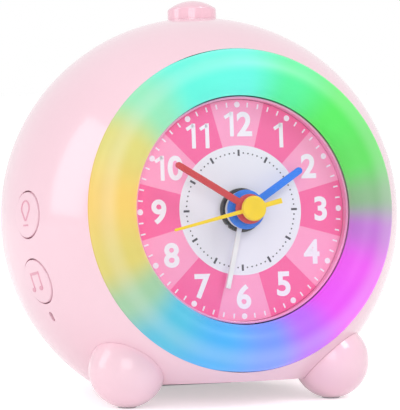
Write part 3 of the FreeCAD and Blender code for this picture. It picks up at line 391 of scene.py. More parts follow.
def piece(name, shape, material, body="clock_body", replaces=(), lean_it=True, limit=35.0):
    """Turn a bmesh into a finished object of the clock."""
    bmesh.ops.remove_doubles(shape, verts=shape.verts, dist=0.0005 if lean_it else 0.0000005)
    for _ in range(3):
        flaps = [f for f in shape.faces if any(e.is_boundary for e in f.edges)]
        bmesh.ops.delete(shape, geom=flaps, context="FACES")
    bmesh.ops.delete(shape, geom=[e for e in shape.edges if e.is_wire], context="EDGES")
    shape.normal_update()
    bmesh.ops.recalc_face_normals(shape, faces=shape.faces)
    if lean_it:
        shape.transform(UPRIGHT)
    mesh = bpy.data.meshes.new(name)
    shape.to_mesh(mesh)
    shape.free()
    made = bpy.data.objects.new(name, mesh)
    bpy.context.scene.collection.objects.link(made)
    for finish in material if isinstance(material, (list, tuple)) else [material]:
        mesh.materials.append(finish)
    smooth_by_angle(mesh, limit)
    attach(made, body)
    if replaces:
        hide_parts(*replaces)
    return made


def profile_spin(points, steps=144):
    """A closed outline of (radius, depth) points spun about the dial's line."""
    shape = bmesh.new()
    ring = [shape.verts.new((r, -d, 0.0)) for r, d in points]
    edges = [shape.edges.new((a, b)) for a, b in zip(ring, ring[1:] + ring[:1])]
    bmesh.ops.spin(shape, geom=ring + edges, cent=(0, 0, 0), axis=(0, 1, 0), angle=2 * math.pi,
                   steps=steps, use_merge=True, use_duplicate=False)
    bmesh.ops.remove_doubles(shape, verts=shape.verts, dist=0.0005)
    return shape


def arc(centre_r, centre_d, radius, start, end, count):
    """Points of an arc in the (radius, depth) plane, angles from outward towards the viewer."""
    spots = []
    for n in range(count + 1):
        a = math.radians(start + (end - start) * n / count)
        spots.append((centre_r + radius * math.cos(a), centre_d + radius * math.sin(a)))
    return spots


print("piece helper ready")

# %% [markdown]
# The ball is one moulding to the eye. A real ball could be turned as a profile,
# but its flat underside and the round button holes cut across that profile, so
# here solid balls are trimmed with planes, and the inner ball and the hole
# cutters are taken out of the outer one. Trimming a rounded solid leaves one open
# loop each time, which a single fill closes.

# %% ball helpers
INNER_R = BALL_R - WALL
RING_OUT_R = math.sqrt(BALL_R ** 2 - (RING_MID_DEPTH + 0.8) ** 2)
RING_SEAT_DEPTH = math.sqrt(BALL_R ** 2 - RING_OUT_R ** 2)
SLIP = 0.2
FAR = 60.0
LINE = 0.38


def trimmed_ball(radius, planes, steps=180, centre=(0, 0, 0)):
    """A solid ball cut by planes, each given as (point, outward normal)."""
    shape = bmesh.new()
    bmesh.ops.create_uvsphere(shape, u_segments=steps, v_segments=steps // 2, radius=radius)
    bmesh.ops.rotate(shape, verts=shape.verts, cent=(0, 0, 0), matrix=Matrix.Rotation(math.radians(90), 3, "X"))
    bmesh.ops.translate(shape, verts=shape.verts, vec=centre)
    for point, normal in planes:
        everything = shape.verts[:] + shape.edges[:] + shape.faces[:]
        bmesh.ops.bisect_plane(shape, geom=everything, plane_co=point, plane_no=normal, clear_outer=True, dist=0.0001)
        bmesh.ops.edgeloop_fill(shape, edges=[e for e in shape.edges if e.is_boundary])
    return shape


def rod(radius, start, way, length, steps=64, far_radius=None):
    """A solid cylinder or cone from a point along a direction."""
    shape = bmesh.new()
    way = Vector(way).normalized()
    bmesh.ops.create_cone(shape, cap_ends=True, segments=steps, radius1=radius,
                          radius2=radius if far_radius is None else far_radius, depth=length)
    aim = way.to_track_quat("Z", "Y").to_matrix().to_4x4()
    shape.transform(Matrix.Translation(Vector(start) + way * length / 2) @ aim)
    return shape


def slab(low, high):
    """A solid box between two corners."""
    shape = bmesh.new()
    bmesh.ops.create_cube(shape, size=1.0)
    low, high = Vector(low), Vector(high)
    shape.transform(Matrix.Translation((low + high) / 2) @ Matrix.Diagonal((*(high - low), 1.0)))
    return shape


def as_object(shape, name="tool"):
    """A bmesh as a plain object in upright millimetres."""
    mesh = bpy.data.meshes.new(name)
    shape.normal_update()
    bmesh.ops.recalc_face_normals(shape, faces=shape.faces)
    shape.to_mesh(mesh)
    shape.free()
    made = bpy.data.objects.new(name, mesh)
    bpy.context.scene.collection.objects.link(made)
    return made


def carved(shape, tools, operation="DIFFERENCE"):
    """Cut each tool out of a shape, or join it on, and give back a bmesh."""
    work = as_object(shape, "work")
    for tool in tools:
        cutter = as_object(tool)
        step = work.modifiers.new("cut", "BOOLEAN")
        step.operation = operation
        step.solver = "MANIFOLD"
        step.object = cutter
        graph = bpy.context.evaluated_depsgraph_get()
        result = bpy.data.meshes.new_from_object(work.evaluated_get(graph))
        work.modifiers.clear()
        work.data = result
        bpy.data.objects.remove(cutter)
    done = bmesh.new()
    done.from_mesh(work.data)
    bpy.data.objects.remove(work)
    bmesh.ops.dissolve_degenerate(done, dist=0.00005, edges=done.edges)
    many = [f for f in done.faces if len(f.verts) > 4]
    bmesh.ops.triangulate(done, faces=many)
    return done


def true_ball(made, surfaces):
    """Light every point on a ball by the ball's own direction, so that cuts leave no dents in the gloss."""
    mesh = made.data
    normals = [Vector(c.vector) for c in mesh.corner_normals]
    for face in mesh.polygons:
        for centre, radius, sign in surfaces:
            middle = UPRIGHT @ Vector(centre)
            spots = [mesh.vertices[mesh.loops[i].vertex_index].co - middle for i in face.loop_indices]
            on_ball = all(abs(s.length - radius * MM) < 0.03 * MM for s in spots)
            if on_ball and face.normal.dot(spots[0].normalized() * sign) > 0.97:
                for i, spot in zip(face.loop_indices, spots):
                    normals[i] = spot.normalized() * sign
    mesh.normals_split_custom_set(normals)


SIDE_AZIMUTH = math.radians(13.5)
LIGHT_RISE, MUSIC_RISE, HOLE_RISE, SIDE_TILT = 0.8, -18.0, -28.8, -9.0
SIDE_R = 6.0
SNOOZE_R = 6.8


def flank(rise_angle):
    """Direction from the ball's centre to a spot on the button flank."""
    b = math.radians(rise_angle)
    return Vector((-math.cos(b) * math.cos(SIDE_AZIMUTH), -math.cos(b) * math.sin(SIDE_AZIMUTH), math.sin(b)))


PUSH = flank(SIDE_TILT)
print("ball helpers ready, ring radius", round(RING_OUT_R, 2))

# %% [markdown]
# The front half carries the ring's opening, the two button holes, the small
# oblong light sensor hole under them and the snooze hole. The hole cutters are
# short rods on the buttons' own lines, a clearance wider than each button.

# %% front of the ball


def flank_foot(rise_angle):
    """Where a flank button's own line passes nearest the ball's centre."""
    spot = flank(rise_angle) * BALL_R
    return spot - PUSH * spot.dot(PUSH)


holes = [rod(SIDE_R + LINE, flank_foot(angle) + PUSH * 40, PUSH, 20, 72) for angle in (LIGHT_RISE, MUSIC_RISE)]
hole_way = flank(HOLE_RISE)
hole_up = (Vector((0, 0, 1)) - hole_way * hole_way.z).normalized()
for shift in (-0.7, 0.0, 0.7):
    holes.append(rod(0.75, hole_way * 48 + hole_up * shift, hole_way, 14, 24))
holes.append(rod(SNOOZE_R + SLIP, (0, 0, 45), (0, 0, 1), 20, 72))
front_planes = [((0, -RING_SEAT_DEPTH, 0), (0, -1, 0)), ((0, SEAM_Y - 0.02, 0), (0, 1, 0)), ((0, 0, -FLAT_Z), (0, 0, -1))]
front_solid = trimmed_ball(BALL_R, front_planes)
hollow = trimmed_ball(INNER_R, [((0, 0, -FLAT_Z + WALL), (0, 0, -1))], 96)
opening = rod(RING_OUT_R + 0.1, (0, -FAR, 0), (0, 1, 0), 32, 180)
front_shape = carved(front_solid, [hollow, opening] + holes)
front_body = piece("ball_front", front_shape, ball_pink, replaces=["front_shell"], limit=30)
true_ball(front_body, [((0, 0, 0), BALL_R, 1), ((0, 0, 0), INNER_R, -1)])
print("front of the ball", len(front_body.data.polygons), "faces")

# %% [markdown]
# The rear half ends in a flat panel with the battery opening, the sound holes,
# the two shaft holes, the switch slot and the four counterbored screw holes. The
# same recipe makes it: trimmed ball, hollow, then one cutter for each opening.

# %% rear of the ball
BAY_W, BAY_H, BAY_Z = 46.5, 32.4, -15.2
DOOR_SCREW_Z = BAY_Z - BAY_H / 2 - 3.2
SPEAKER_Z = 26.0
SWITCH_X, SWITCH_Z = 25.0, 15.0
CASE_SCREWS = [(26.5, 27.0), (-26.5, 27.0), (28.6, -24.0), (-28.6, -24.0)]
KNOB_PLACES = {}
for turn_joint, knob in (("time_setting_turn", "time_knob"), ("alarm_setting_turn", "alarm_knob")):
    spot = UPRIGHT.inverted() @ Vector(joints[turn_joint]["pos_m"])
    KNOB_PLACES[knob] = (spot.x, spot.z)

rear_planes = [((0, BACK_Y, 0), (0, 1, 0)), ((0, SEAM_Y + 0.05, 0), (0, -1, 0)), ((0, 0, -FLAT_Z), (0, 0, -1))]
rear_solid = trimmed_ball(BALL_R, rear_planes)
room_planes = [((0, BACK_Y - WALL, 0), (0, 1, 0)), ((0, 0, -FLAT_Z + WALL), (0, 0, -1))]
rear_tools = [trimmed_ball(INNER_R, room_planes, 96)]
rear_tools.append(slab((-BAY_W / 2, BACK_Y - 3, BAY_Z - BAY_H / 2), (BAY_W / 2, BACK_Y + 1, BAY_Z + BAY_H / 2)))
rear_tools.append(slab((SWITCH_X - 1.4, BACK_Y - 3, SWITCH_Z - 3.7), (SWITCH_X + 1.4, BACK_Y + 1, SWITCH_Z + 3.7)))
sound_spots = [(0.0, 0.0)]
for ring_r, count in ((2.9, 6), (5.6, 12)):
    sound_spots += [(ring_r * math.cos(math.tau * n / count), ring_r * math.sin(math.tau * n / count)) for n in range(count)]
for x, z in sound_spots:
    rear_tools.append(rod(0.9, (x, BACK_Y - 3, SPEAKER_Z + z), (0, 1, 0), 4, 20))
for x, z in KNOB_PLACES.values():
    rear_tools.append(rod(1.7, (x, BACK_Y - 3, z), (0, 1, 0), 4, 32))
for x, z in CASE_SCREWS:
    rear_tools.append(rod(2.7, (x, BACK_Y - 2.0, z), (0, 1, 0), 4, 40))
rear_shape = carved(rear_solid, rear_tools)
rear_body = piece("ball_rear", rear_shape, ball_pink, replaces=["rear_shell"], limit=30)
true_ball(rear_body, [((0, 0, 0), BALL_R, 1), ((0, 0, 0), INNER_R, -1)])
print("rear of the ball", len(rear_body.data.polygons), "faces")

# %% [markdown]
# The light ring is a hollow half-round tube with two legs that reach down beside
# the dial cup and inside the ball's opening. A closed outline spun about the
# dial's line gives it, with real arcs over the crown and under it.

# %% light ring
CUP_IN_R, CUP_OUT_R, CUP_TOP = 29.6, 30.2, 34.8
RING_WALL = 1.6
lip_r = CUP_OUT_R + 0.3
leg_in = 31.4
leg_out = RING_OUT_R - 0.1
foot_depth = 31.0
lip_depth = 34.9


def bow(radius, from_r, to_r, count):
    """Arc points over the ring's crest, from one radius to another."""
    start = math.degrees(math.acos((from_r - RING_MID_R) / radius))
    end = math.degrees(math.acos((to_r - RING_MID_R) / radius))
    return arc(RING_MID_R, RING_MID_DEPTH, radius, start, end, count)


ring_outline = bow(RING_SECTION, lip_r, leg_out, 28)
ring_outline += [(leg_out, foot_depth), (leg_out - RING_WALL, foot_depth)]
ring_outline += bow(RING_SECTION - RING_WALL, leg_out - RING_WALL, leg_in + RING_WALL, 16)
ring_outline += [(leg_in + RING_WALL, foot_depth), (leg_in, foot_depth), (leg_in, lip_depth), (lip_r, lip_depth)]
ring_piece = piece("glow_ring", profile_spin(ring_outline, 192), ring_glow, replaces=["light_ring"],
                   limit=40)
print("ring", len(ring_piece.data.polygons), "faces")

# %% [markdown]
# The dial sits in a shallow glossy cup, whose thin rim shows as a pink-lilac band
# on the far side of the dial. The cup is turned, with a rounded rim, and its four
# ears, which take the screws into the ring's carrier, are plain blocks joined on.

# %% dial cup
CUP_BACK, PAD_R, PAD_BACK, BUSH_HOLE_R = 30.0, 14.0, 28.3, 4.2
DIAL_BACK = 31.8
cup_outline = [(BUSH_HOLE_R, DIAL_BACK), (CUP_IN_R, DIAL_BACK), (CUP_IN_R, CUP_TOP - 0.25)]
cup_outline += arc(CUP_IN_R + 0.25, CUP_TOP - 0.25, 0.25, 180, 90, 5)
cup_outline += [(CUP_OUT_R - 0.06, CUP_TOP), (CUP_OUT_R, CUP_TOP - 0.06), (CUP_OUT_R, CUP_BACK), (PAD_R, CUP_BACK),
                (PAD_R, PAD_BACK), (BUSH_HOLE_R, PAD_BACK)]
ears = []
for angle in range(0, 360, 90):
    for low, high in (((28.0, -28.4, -4.5), (37.0, -27.0, 4.5)), ((28.0, -31.3, -4.5), (30.1, -28.0, 4.5))):
        ear = slab(low, high)
        bmesh.ops.bevel(ear, geom=ear.edges[:], offset=0.2, segments=2, profile=0.5, affect="EDGES", material=-1)
        ear.transform(Matrix.Rotation(math.radians(angle), 4, "Y"))
        ears.append(ear)
cup_shape = carved(profile_spin(cup_outline, 144), ears, "UNION")
cup_piece = piece("cup_of_dial", cup_shape, lilac_wall, replaces=["dial_cup"])
print("dial cup", len(cup_piece.data.polygons), "faces")

# %% [markdown]
# The lens is a clear moulded crown that stands on the cup's rim inside the ring.
# Its outline is turned as well: a foot, a sloping skirt and a shallow dome.

# %% lens
SHOULDER_R, SHOULDER_DEPTH = 27.0, 43.3
LENS_T, LENS_RISE = 1.1, 1.5


def dome(radius, edge_depth, rise_mm, count):
    """Points of a shallow crown from its edge to the middle."""
    ball_r = (radius ** 2 + rise_mm ** 2) / (2 * rise_mm)
    spots = []
    for n in range(count + 1):
        r = radius * (1 - n / count)
        spots.append((r, edge_depth + rise_mm - ball_r + math.sqrt(ball_r ** 2 - r ** 2)))
    return spots


lens_outline = [(CUP_OUT_R - 0.8, CUP_TOP + 0.02), (CUP_OUT_R - 0.02, CUP_TOP + 0.02), (CUP_OUT_R - 0.02, CUP_TOP + 0.75)]
lens_outline += dome(SHOULDER_R, SHOULDER_DEPTH - 0.02, LENS_RISE, 14)
lens_outline += list(reversed(dome(SHOULDER_R - 1.0, SHOULDER_DEPTH - LENS_T, LENS_RISE, 14)))
lens_outline += [(CUP_OUT_R - 0.8, CUP_TOP + 0.5)]
lens_piece = piece("clear_lens", profile_spin(lens_outline, 144), lens_clear, replaces=["lens"], limit=20)
print("lens", len(lens_piece.data.polygons), "faces")

# %% [markdown]
# The dial is a printed disc. Its sectors and its white middle are functions of the
# clock angle and the radius: the cosine of six times the angle is positive over
# every even hour and negative over every odd one, which gives twelve sectors with
# one node. The print has a very fine grain, as ink on card has.

# %% dial print
DIAL_DEPTH, DIAL_R = 32.6, 29.5
WHITE_R = 17.3
dial_finish = Finish("dial_print", Roughness=0.45)
dial_x, dial_depth, dial_z = upright_axes(dial_finish)
dial_angle = dial_x._math("ARCTAN2", dial_z)
dial_radius = (dial_x * dial_x + dial_z * dial_z)._math("SQRT")
even_hour = (dial_angle * 6.0)._math("COSINE").over(-0.04, 0.04)
sectors = dial_finish.mix(even_hour, tone(250, 92, 162), tone(255, 158, 203))
inside_white = 1.0 - dial_radius.over(WHITE_R - 0.06, WHITE_R + 0.06)
printed = dial_finish.mix(inside_white, sectors, tone(236, 236, 248))
speckle = dial_finish.noise(1800.0, 1.0)
dial_finish.feed("Base Color", dial_finish.mix(speckle * 0.08, printed, (0.9, 0.85, 0.9, 1.0)))
dial_finish.feed("Roughness", speckle * 0.1 + 0.4)
dial_finish.bump(speckle, 0.000004)
plate_outline = [(4.3, DIAL_DEPTH - 0.8), (DIAL_R, DIAL_DEPTH - 0.8), (DIAL_R, DIAL_DEPTH), (4.3, DIAL_DEPTH)]
dial_piece = piece("dial_face", profile_spin(plate_outline, 120), dial_finish.material, replaces=["dial_plate"])
print("dial", len(dial_piece.data.polygons), "faces")

# %% [markdown]
# Numbers, minute marks and the small alarm track are pad-printed on the dial. They
# are made as very thin raised ink, so their edges stay sharp from near by. The
# numbers are Blender's own plain font, made a mesh, scaled so that the figures are
# as high as the real ones, and stood round the dial upright.

# %% dial marks
INK = 0.035
NUMBER_R, NUMBER_HIGH = 23.0, 6.6
ONE_W, ONE_STEM_X, STEM_W = 0.46, 0.36, 0.165
ink_lilac = moulded("ink_lilac", tone(246, 240, 252), 0.5, 0.02)
ink_grey = moulded("ink_grey", tone(72, 72, 84), 0.5, 0.05)


def merged(parts):
    """Several meshes in one bmesh."""
    whole = bmesh.new()
    for part in parts:
        mesh = bpy.data.meshes.new("part")
        part.to_mesh(mesh)
        part.free()
        whole.from_mesh(mesh)
        bpy.data.meshes.remove(mesh)
    return whole


def stroke(points, width, closed=False):
    """A flat drawn line through (u, v) points, as a strip of quads."""
    shape = bmesh.new()
    count = len(points)
    pairs = []
    for n, (u, v) in enumerate(points):
        before = points[(n - 1) % count] if closed or n else points[0]
        after = points[(n + 1) % count] if closed or n < count - 1 else points[-1]
        along = Vector((after[0] - before[0], after[1] - before[1])).normalized()
        side = Vector((-along.y, along.x)) * (width / 2)
        pairs.append((shape.verts.new((u + side.x, v + side.y, 0.0)), shape.verts.new((u - side.x, v - side.y, 0.0))))
    for first, second in zip(pairs, pairs[1:] + (pairs[:1] if closed else [])):
        shape.faces.new((first[0], second[0], second[1], first[1]))
    return shape


def thickened(shape, thick=1.0):
    """A flat drawing given thickness along Z."""
    raised = bmesh.ops.extrude_face_region(shape, geom=shape.faces[:])
    bmesh.ops.translate(shape, verts=[g for g in raised["geom"] if isinstance(g, bmesh.types.BMVert)], vec=(0, 0, thick))
    return shape


def figure_one():
    """The figure 1, one unit high: an upright stem with a flag at its top."""
    stem = thickened(stroke([(ONE_STEM_X, 0.0), (ONE_STEM_X, 1.0)], STEM_W))
    flag = thickened(stroke([(0.06, 0.76), (ONE_STEM_X, 0.94)], STEM_W * 0.85))
    return merged([stem, flag]), ONE_W


def figure_other(text, weight=0.03):
    """Another figure from the plain font, one unit high, and its width."""
    curve = bpy.data.curves.new("figures", "FONT")
    curve.body = text
    curve.offset = weight
    curve.extrude = 0.5
    curve.resolution_u = 6
    holder = bpy.data.objects.new("figures", curve)
    bpy.context.scene.collection.objects.link(holder)
    graph = bpy.context.evaluated_depsgraph_get()
    mesh = bpy.data.meshes.new_from_object(holder.evaluated_get(graph))
    bpy.data.objects.remove(holder)
    shape = bmesh.new()
    shape.from_mesh(mesh)
    bmesh.ops.remove_doubles(shape, verts=shape.verts, dist=0.0002)
    lows = [min(v.co[k] for v in shape.verts) for k in (0, 1)]
    highs = [max(v.co[k] for v in shape.verts) for k in (0, 1)]
    size = 1.0 / (highs[1] - lows[1])
    shape.transform(Matrix.Diagonal((size, size, 1.0, 1.0)) @ Matrix.Translation((-lows[0], -lows[1], 0.5)))
    return shape, (highs[0] - lows[0]) * size


def figures(text, high, apart=0.12):
    """A number as a thin mesh lying on the dial plane, centred on the origin."""
    parts = []
    edge = 0.0
    for letter in text:
        shape, width = figure_one() if letter == "1" else figure_other(letter)
        shape.transform(Matrix.Translation((edge, 0, 0)))
        edge += width + apart
        parts.append(shape)
    number = merged(parts)
    middle = Matrix.Translation((-(edge - apart) / 2, -0.5, 0))
    number.transform(Matrix.Rotation(math.radians(90), 4, "X") @ Matrix.Diagonal((high, high, INK, 1.0)) @ middle)
    return number


def flat_mark(angle, radius, length, width):
    """A printed bar along the radius, at a clock angle."""
    bar = slab((-width / 2, -DIAL_DEPTH - INK, radius - length / 2), (width / 2, -DIAL_DEPTH + 0.01, radius + length / 2))
    bar.transform(Matrix.Rotation(math.radians(angle), 4, "Y"))
    return bar


def dot_mark(angle, radius, size, steps=16):
    """A printed round dot."""
    return rod(size, clock_point(angle, radius, DIAL_DEPTH - 0.01), (0, -1, 0), INK + 0.01, steps)


numbers = []
for hour in range(1, 13):
    figure = figures(str(hour), NUMBER_HIGH)
    figure.transform(Matrix.Translation(clock_point(hour * 30, NUMBER_R, DIAL_DEPTH)))
    numbers.append(figure)
number_piece = piece("dial_numbers", merged(numbers), ink_lilac)
minute_marks = [dot_mark(hour * 30, 28.2, 0.8) for hour in range(12)]
minute_marks += [flat_mark(m * 6, 28.2, 1.3, 0.42) for m in range(60) if m % 5]
minute_piece = piece("minute_marks", merged(minute_marks), ink_lilac)
alarm_marks = [flat_mark(hour * 30, 15.3, 1.66, 0.58) for hour in range(12)]
alarm_marks += [dot_mark(m * 5, 15.3, 0.22, 8) for m in range(72) if m % 6]
alarm_piece = piece("alarm_track", merged(alarm_marks), ink_grey)
print("numbers", len(number_piece.data.polygons), "marks", len(minute_piece.data.polygons))

# %% [markdown]
# The hands are stamped from thin sheet and lacquered. Each one is an outline with
# a round or a square tip, given its thickness by one extrusion, joined to its hub
# disc, bored, and bevelled along its front edges so that the light catches them.

# %% hands


def blade(half, tip_round, thick):
    """A flat blade from (half width, height) points, mirrored about its middle line."""
    left = [(-x, z) for x, z in half]
    right_side = [(x, z) for x, z in reversed(half)]
    crown = []
    if tip_round:
        width, top = half[-1]
        left[-1] = (-width, top - width)
        right_side[0] = (width, top - width)
        crown = [(-width * math.cos(math.pi * n / 8), top - width + width * math.sin(math.pi * n / 8)) for n in range(1, 8)]
    shape = bmesh.new()
    spots = [shape.verts.new((x, 0.0, z)) for x, z in left + crown + right_side]
    face = shape.faces.new(spots)
    raised = bmesh.ops.extrude_face_region(shape, geom=[face])
    top_verts = [g for g in raised["geom"] if isinstance(g, bmesh.types.BMVert)]
    bmesh.ops.translate(shape, verts=top_verts, vec=(0, -thick, 0))
    return shape


def front_bevel(shape, depth_at, width, segments=2):
    """Round the edges that border the front face of a flat piece."""
    edges = []
    for edge in shape.edges:
        flat = all(abs(v.co.y + depth_at) < 0.004 for v in edge.verts)
        if flat and len(edge.link_faces) == 2 and edge.calc_face_angle(0.0) > math.radians(40):
            edges.append(edge)
    bmesh.ops.bevel(shape, geom=edges, offset=width, segments=segments, profile=0.5, affect="EDGES", material=-1,
                    clamp_overlap=True)


def clock_hand(name, replaces_node, body, angle, low, thick, half, hub_r, bore_r, material, tip_round=True):
    """One finished hand, pointing at its clock angle."""
    shape = blade(half, tip_round, thick)
    shape.transform(Matrix.Translation((0, -(DIAL_DEPTH + low), 0)))
    back = DIAL_DEPTH + low
    hub = rod(hub_r, (0, -back, 0), (0, -1, 0), thick, 64)
    shape = carved(shape, [hub], "UNION")
    shape = carved(shape, [rod(bore_r, (0, -back + 1, 0), (0, -1, 0), thick + 2, 32)])
    front_bevel(shape, back + thick, 0.12)
    shape.transform(Matrix.Rotation(math.radians(angle), 4, "Y"))
    return piece(name, shape, material, body=body, replaces=[replaces_node], limit=30)


clock_hand("alarm_pointer", "alarm_hand", "alarm_hand", 193.75, 1.6, 0.5, [(0.65, 0.0), (0.65, 21.3)],
           5.0, 2.4, hand_white, tip_round=False)
clock_hand("hour_pointer", "hour_hand", "hour_hand", 57.0, 3.8, 0.5, [(1.05, 0.0), (0.95, 19.4)],
           5.25, 1.7, hand_blue)
clock_hand("minute_pointer", "minute_hand", "minute_hand", 301.3, 6.5, 0.8, [(0.9, 0.0), (0.8, 23.6)],
           3.95, 1.0, hand_red)
clock_hand("second_pointer", "second_hand", "second_hand", 256.6, 9.0, 0.4, [(0.7, -8.4), (0.55, 0.0), (0.35, 22.7)],
           1.6, 0.4, hand_yellow)
CAP_R, CAP_BACK, CAP_FRONT, CAP_EDGE = 3.3, 42.02, 43.2, 0.43
cap_outline = [(0.0, CAP_BACK), (CAP_R, CAP_BACK)] + arc(CAP_R - CAP_EDGE, CAP_FRONT - CAP_EDGE, CAP_EDGE, 0, 90, 6)
cap_outline.append((0.0, CAP_FRONT))
piece("second_cap", profile_spin(cap_outline, 72), hand_yellow, body="second_hand", replaces=["hand_cap"])
print("hands ready")

# %% [markdown]
# The movement's bush comes through the dial and a black nut holds it. The nut is a
# turned ring with a broken edge and four spanner notches, cut by small rods.

# %% dial nut
nut_outline = [(4.02, DIAL_DEPTH + 0.01), (5.88, DIAL_DEPTH + 0.01), (5.88, DIAL_DEPTH + 0.95)]
nut_outline += arc(5.55, DIAL_DEPTH + 0.96, 0.33, 0, 90, 5) + [(4.3, DIAL_DEPTH + 1.29), (4.02, DIAL_DEPTH + 1.05)]
notches = [rod(0.55, clock_point(angle, 6.0, DIAL_DEPTH), (0, -1, 0), 2.0, 16) for angle in range(45, 360, 90)]
nut_shape = carved(profile_spin(nut_outline, 96), notches)
piece("bush_nut", nut_shape, black_plastic, replaces=["dial_nut"])
print("nut ready")

# %% [markdown]
# The snooze button is a short turned cap with a crowned top, a collar that stops
# it inside the ball and a stem that meets its switch. It moves along the ball's
# upright line, so its outline is spun about Z.

# %% snooze button
SNOOZE_TOP, CROWN_R, SNOOZE_EDGE = 60.08, 10.7, 0.9
COLLAR_TOP = math.sqrt(INNER_R ** 2 - (SNOOZE_R + 1.2) ** 2) - 0.1


def upright_spin(points, steps=96):
    """A closed outline of (radius, height) points spun about the upright line."""
    shape = bmesh.new()
    spots = [shape.verts.new((r, 0.0, z)) for r, z in points]
    edges = [shape.edges.new((a, b)) for a, b in zip(spots, spots[1:] + spots[:1])]
    bmesh.ops.spin(shape, geom=spots + edges, cent=(0, 0, 0), axis=(0, 0, 1), angle=2 * math.pi, steps=steps,
                   use_merge=True, use_duplicate=False)
    return shape


crown_low = SNOOZE_TOP - CROWN_R
edge_mid_r = SNOOZE_R - 0.02 - SNOOZE_EDGE
edge_mid_z = crown_low + math.sqrt((CROWN_R - SNOOZE_EDGE) ** 2 - edge_mid_r ** 2)
meeting = math.degrees(math.atan2(edge_mid_z - crown_low, edge_mid_r))
snooze_outline = [(0.0, COLLAR_TOP - 4.2), (2.2, COLLAR_TOP - 4.2), (2.2, COLLAR_TOP - 1.2)]
snooze_outline += [(SNOOZE_R + 1.2, COLLAR_TOP - 1.2), (SNOOZE_R + 1.2, COLLAR_TOP), (SNOOZE_R - 0.02, COLLAR_TOP)]
snooze_outline += arc(edge_mid_r, edge_mid_z, SNOOZE_EDGE, 0, meeting, 8)
snooze_outline += arc(0.0, crown_low, CROWN_R, meeting, 90, 12)[1:]
piece("snooze_cap", upright_spin(snooze_outline), snooze_pink, body="snooze_button", replaces=["snooze_button"])
print("snooze button ready")

# %% [markdown]
# The two flank buttons follow the ball's curve. Each is a rod on its own line, cut
# off by a slightly larger ball, with its rim rounded by a bevel. Its sign is a
# raised line: a bulb with a dash under it, or two joined notes. A sign is drawn
# flat, given thickness, and then every point is lifted along its own ray to the
# button's curved skin.

# %% flank buttons
PROUD_R = BALL_R + 0.35
SKIN_R = PROUD_R - 0.01
RIM = 0.3
PUSH_STEPS = 96
collar_r = SIDE_R + 0.9
reach = min(math.sqrt(INNER_R ** 2 - (flank_foot(a).length + collar_r) ** 2) for a in (LIGHT_RISE, MUSIC_RISE)) - 0.1
# the signs are moulded in the button's own pink; this darker pink is painted shade along their raised lines
sign_painted_shade = moulded("sign_painted_shade", tone(236, 170, 190), 0.25, 0.02, coat=0.2)


def push_cap(rise_angle):
    """A flank button: stem, collar and head, in rings about its own line, its skin on the ball's curve."""
    middle = flank_foot(rise_angle)
    side = PUSH.orthogonal().normalized()
    over = PUSH.cross(side)
    rows = [(2.2, reach - 3.6), (2.2, reach - 1.2), (collar_r, reach - 1.2), (collar_r, reach), (SIDE_R, reach)]
    skin = [(r, RIM - d) for r, d in arc(SIDE_R - RIM, 0.0, RIM, 0, 90, 6)]
    skin += [((SIDE_R - RIM) * (1 - n / 10), 0.0) for n in range(1, 10)]
    shape = bmesh.new()

    def spot(r, angle, high=None, drop=0.0):
        flat = middle + (side * math.cos(angle) + over * math.sin(angle)) * r
        if high is None:
            high = math.sqrt(SKIN_R ** 2 - flat.length_squared) - drop
        return shape.verts.new(flat + PUSH * high)

    angles = [math.tau * n / PUSH_STEPS for n in range(PUSH_STEPS)]
    rings = [[spot(r, a, high) for a in angles] for r, high in rows]
    rings += [[spot(r, a, None, drop) for a in angles] for r, drop in skin]
    for low, top in zip(rings, rings[1:]):
        for n in range(PUSH_STEPS):
            shape.faces.new((low[n - 1], low[n], top[n], top[n - 1]))
    shape.faces.new(rings[0])
    peak = spot(0.0, 0.0)
    for n in range(PUSH_STEPS):
        shape.faces.new((rings[-1][n - 1], rings[-1][n], peak))
    return shape


def oval(u, v, half_u, half_v, tilt):
    """A filled oval, for the head of a note."""
    shape = bmesh.new()
    bmesh.ops.create_circle(shape, cap_ends=True, segments=24, radius=1.0)
    shape.transform(Matrix.Translation((u, v, 0)) @ Matrix.Rotation(math.radians(tilt), 4, "Z") @ Matrix.Diagonal((half_u, half_v, 1, 1)))
    return shape


def raised_sign(parts, rise_angle, high=0.14):
    """Give drawn lines thickness and lay them on the button's skin."""
    flat = thickened(merged(parts))
    spot = flank(rise_angle) * PROUD_R
    across_way = Vector((0, 0, 1)).cross(spot).normalized()
    up_way = spot.cross(across_way).normalized()
    for vert in flat.verts:
        ray = (spot + across_way * vert.co.x + up_way * vert.co.y).normalized()
        vert.co = ray * (PROUD_R - 0.2 + (0.2 + high) * vert.co.z)
    return flat


bulb = [(2.0 * math.sin(math.radians(a)), 1.75 + 2.0 * math.cos(math.radians(a))) for a in range(-108, 109, 12)]
bulb += [(0.22, -1.5), (-0.22, -1.5)]
light_sign = [stroke(bulb, 0.4, closed=True), stroke([(-1.2, -2.75), (1.2, -2.75)], 0.42)]
music_sign = [oval(-2.6, -2.2, 0.85, 0.6, 20), oval(1.5, -1.75, 0.85, 0.6, 20)]
music_sign += [stroke([(-1.92, -2.05), (-1.92, 2.3)], 0.34), stroke([(2.18, -1.6), (2.18, 2.75)], 0.34)]
music_sign.append(stroke([(-2.09, 2.1), (2.35, 2.55)], 0.7))
for name, node, rise_angle, sign in (("light_push", "light_button", LIGHT_RISE, light_sign),
                                     ("music_push", "music_button", MUSIC_RISE, music_sign)):
    made = piece(name, push_cap(rise_angle), ball_pink, body=node, replaces=[node], limit=30)
    true_ball(made, [((0, 0, 0), SKIN_R, 1)])
    piece(name + "_sign", raised_sign(sign, rise_angle), sign_painted_shade, body=node)
print("flank buttons ready")

# %% [markdown]
# The two round feet are small balls pegged to the big one. Each is trimmed flat
# where its rubber dot meets the table and hollowed where it seats on the ball.

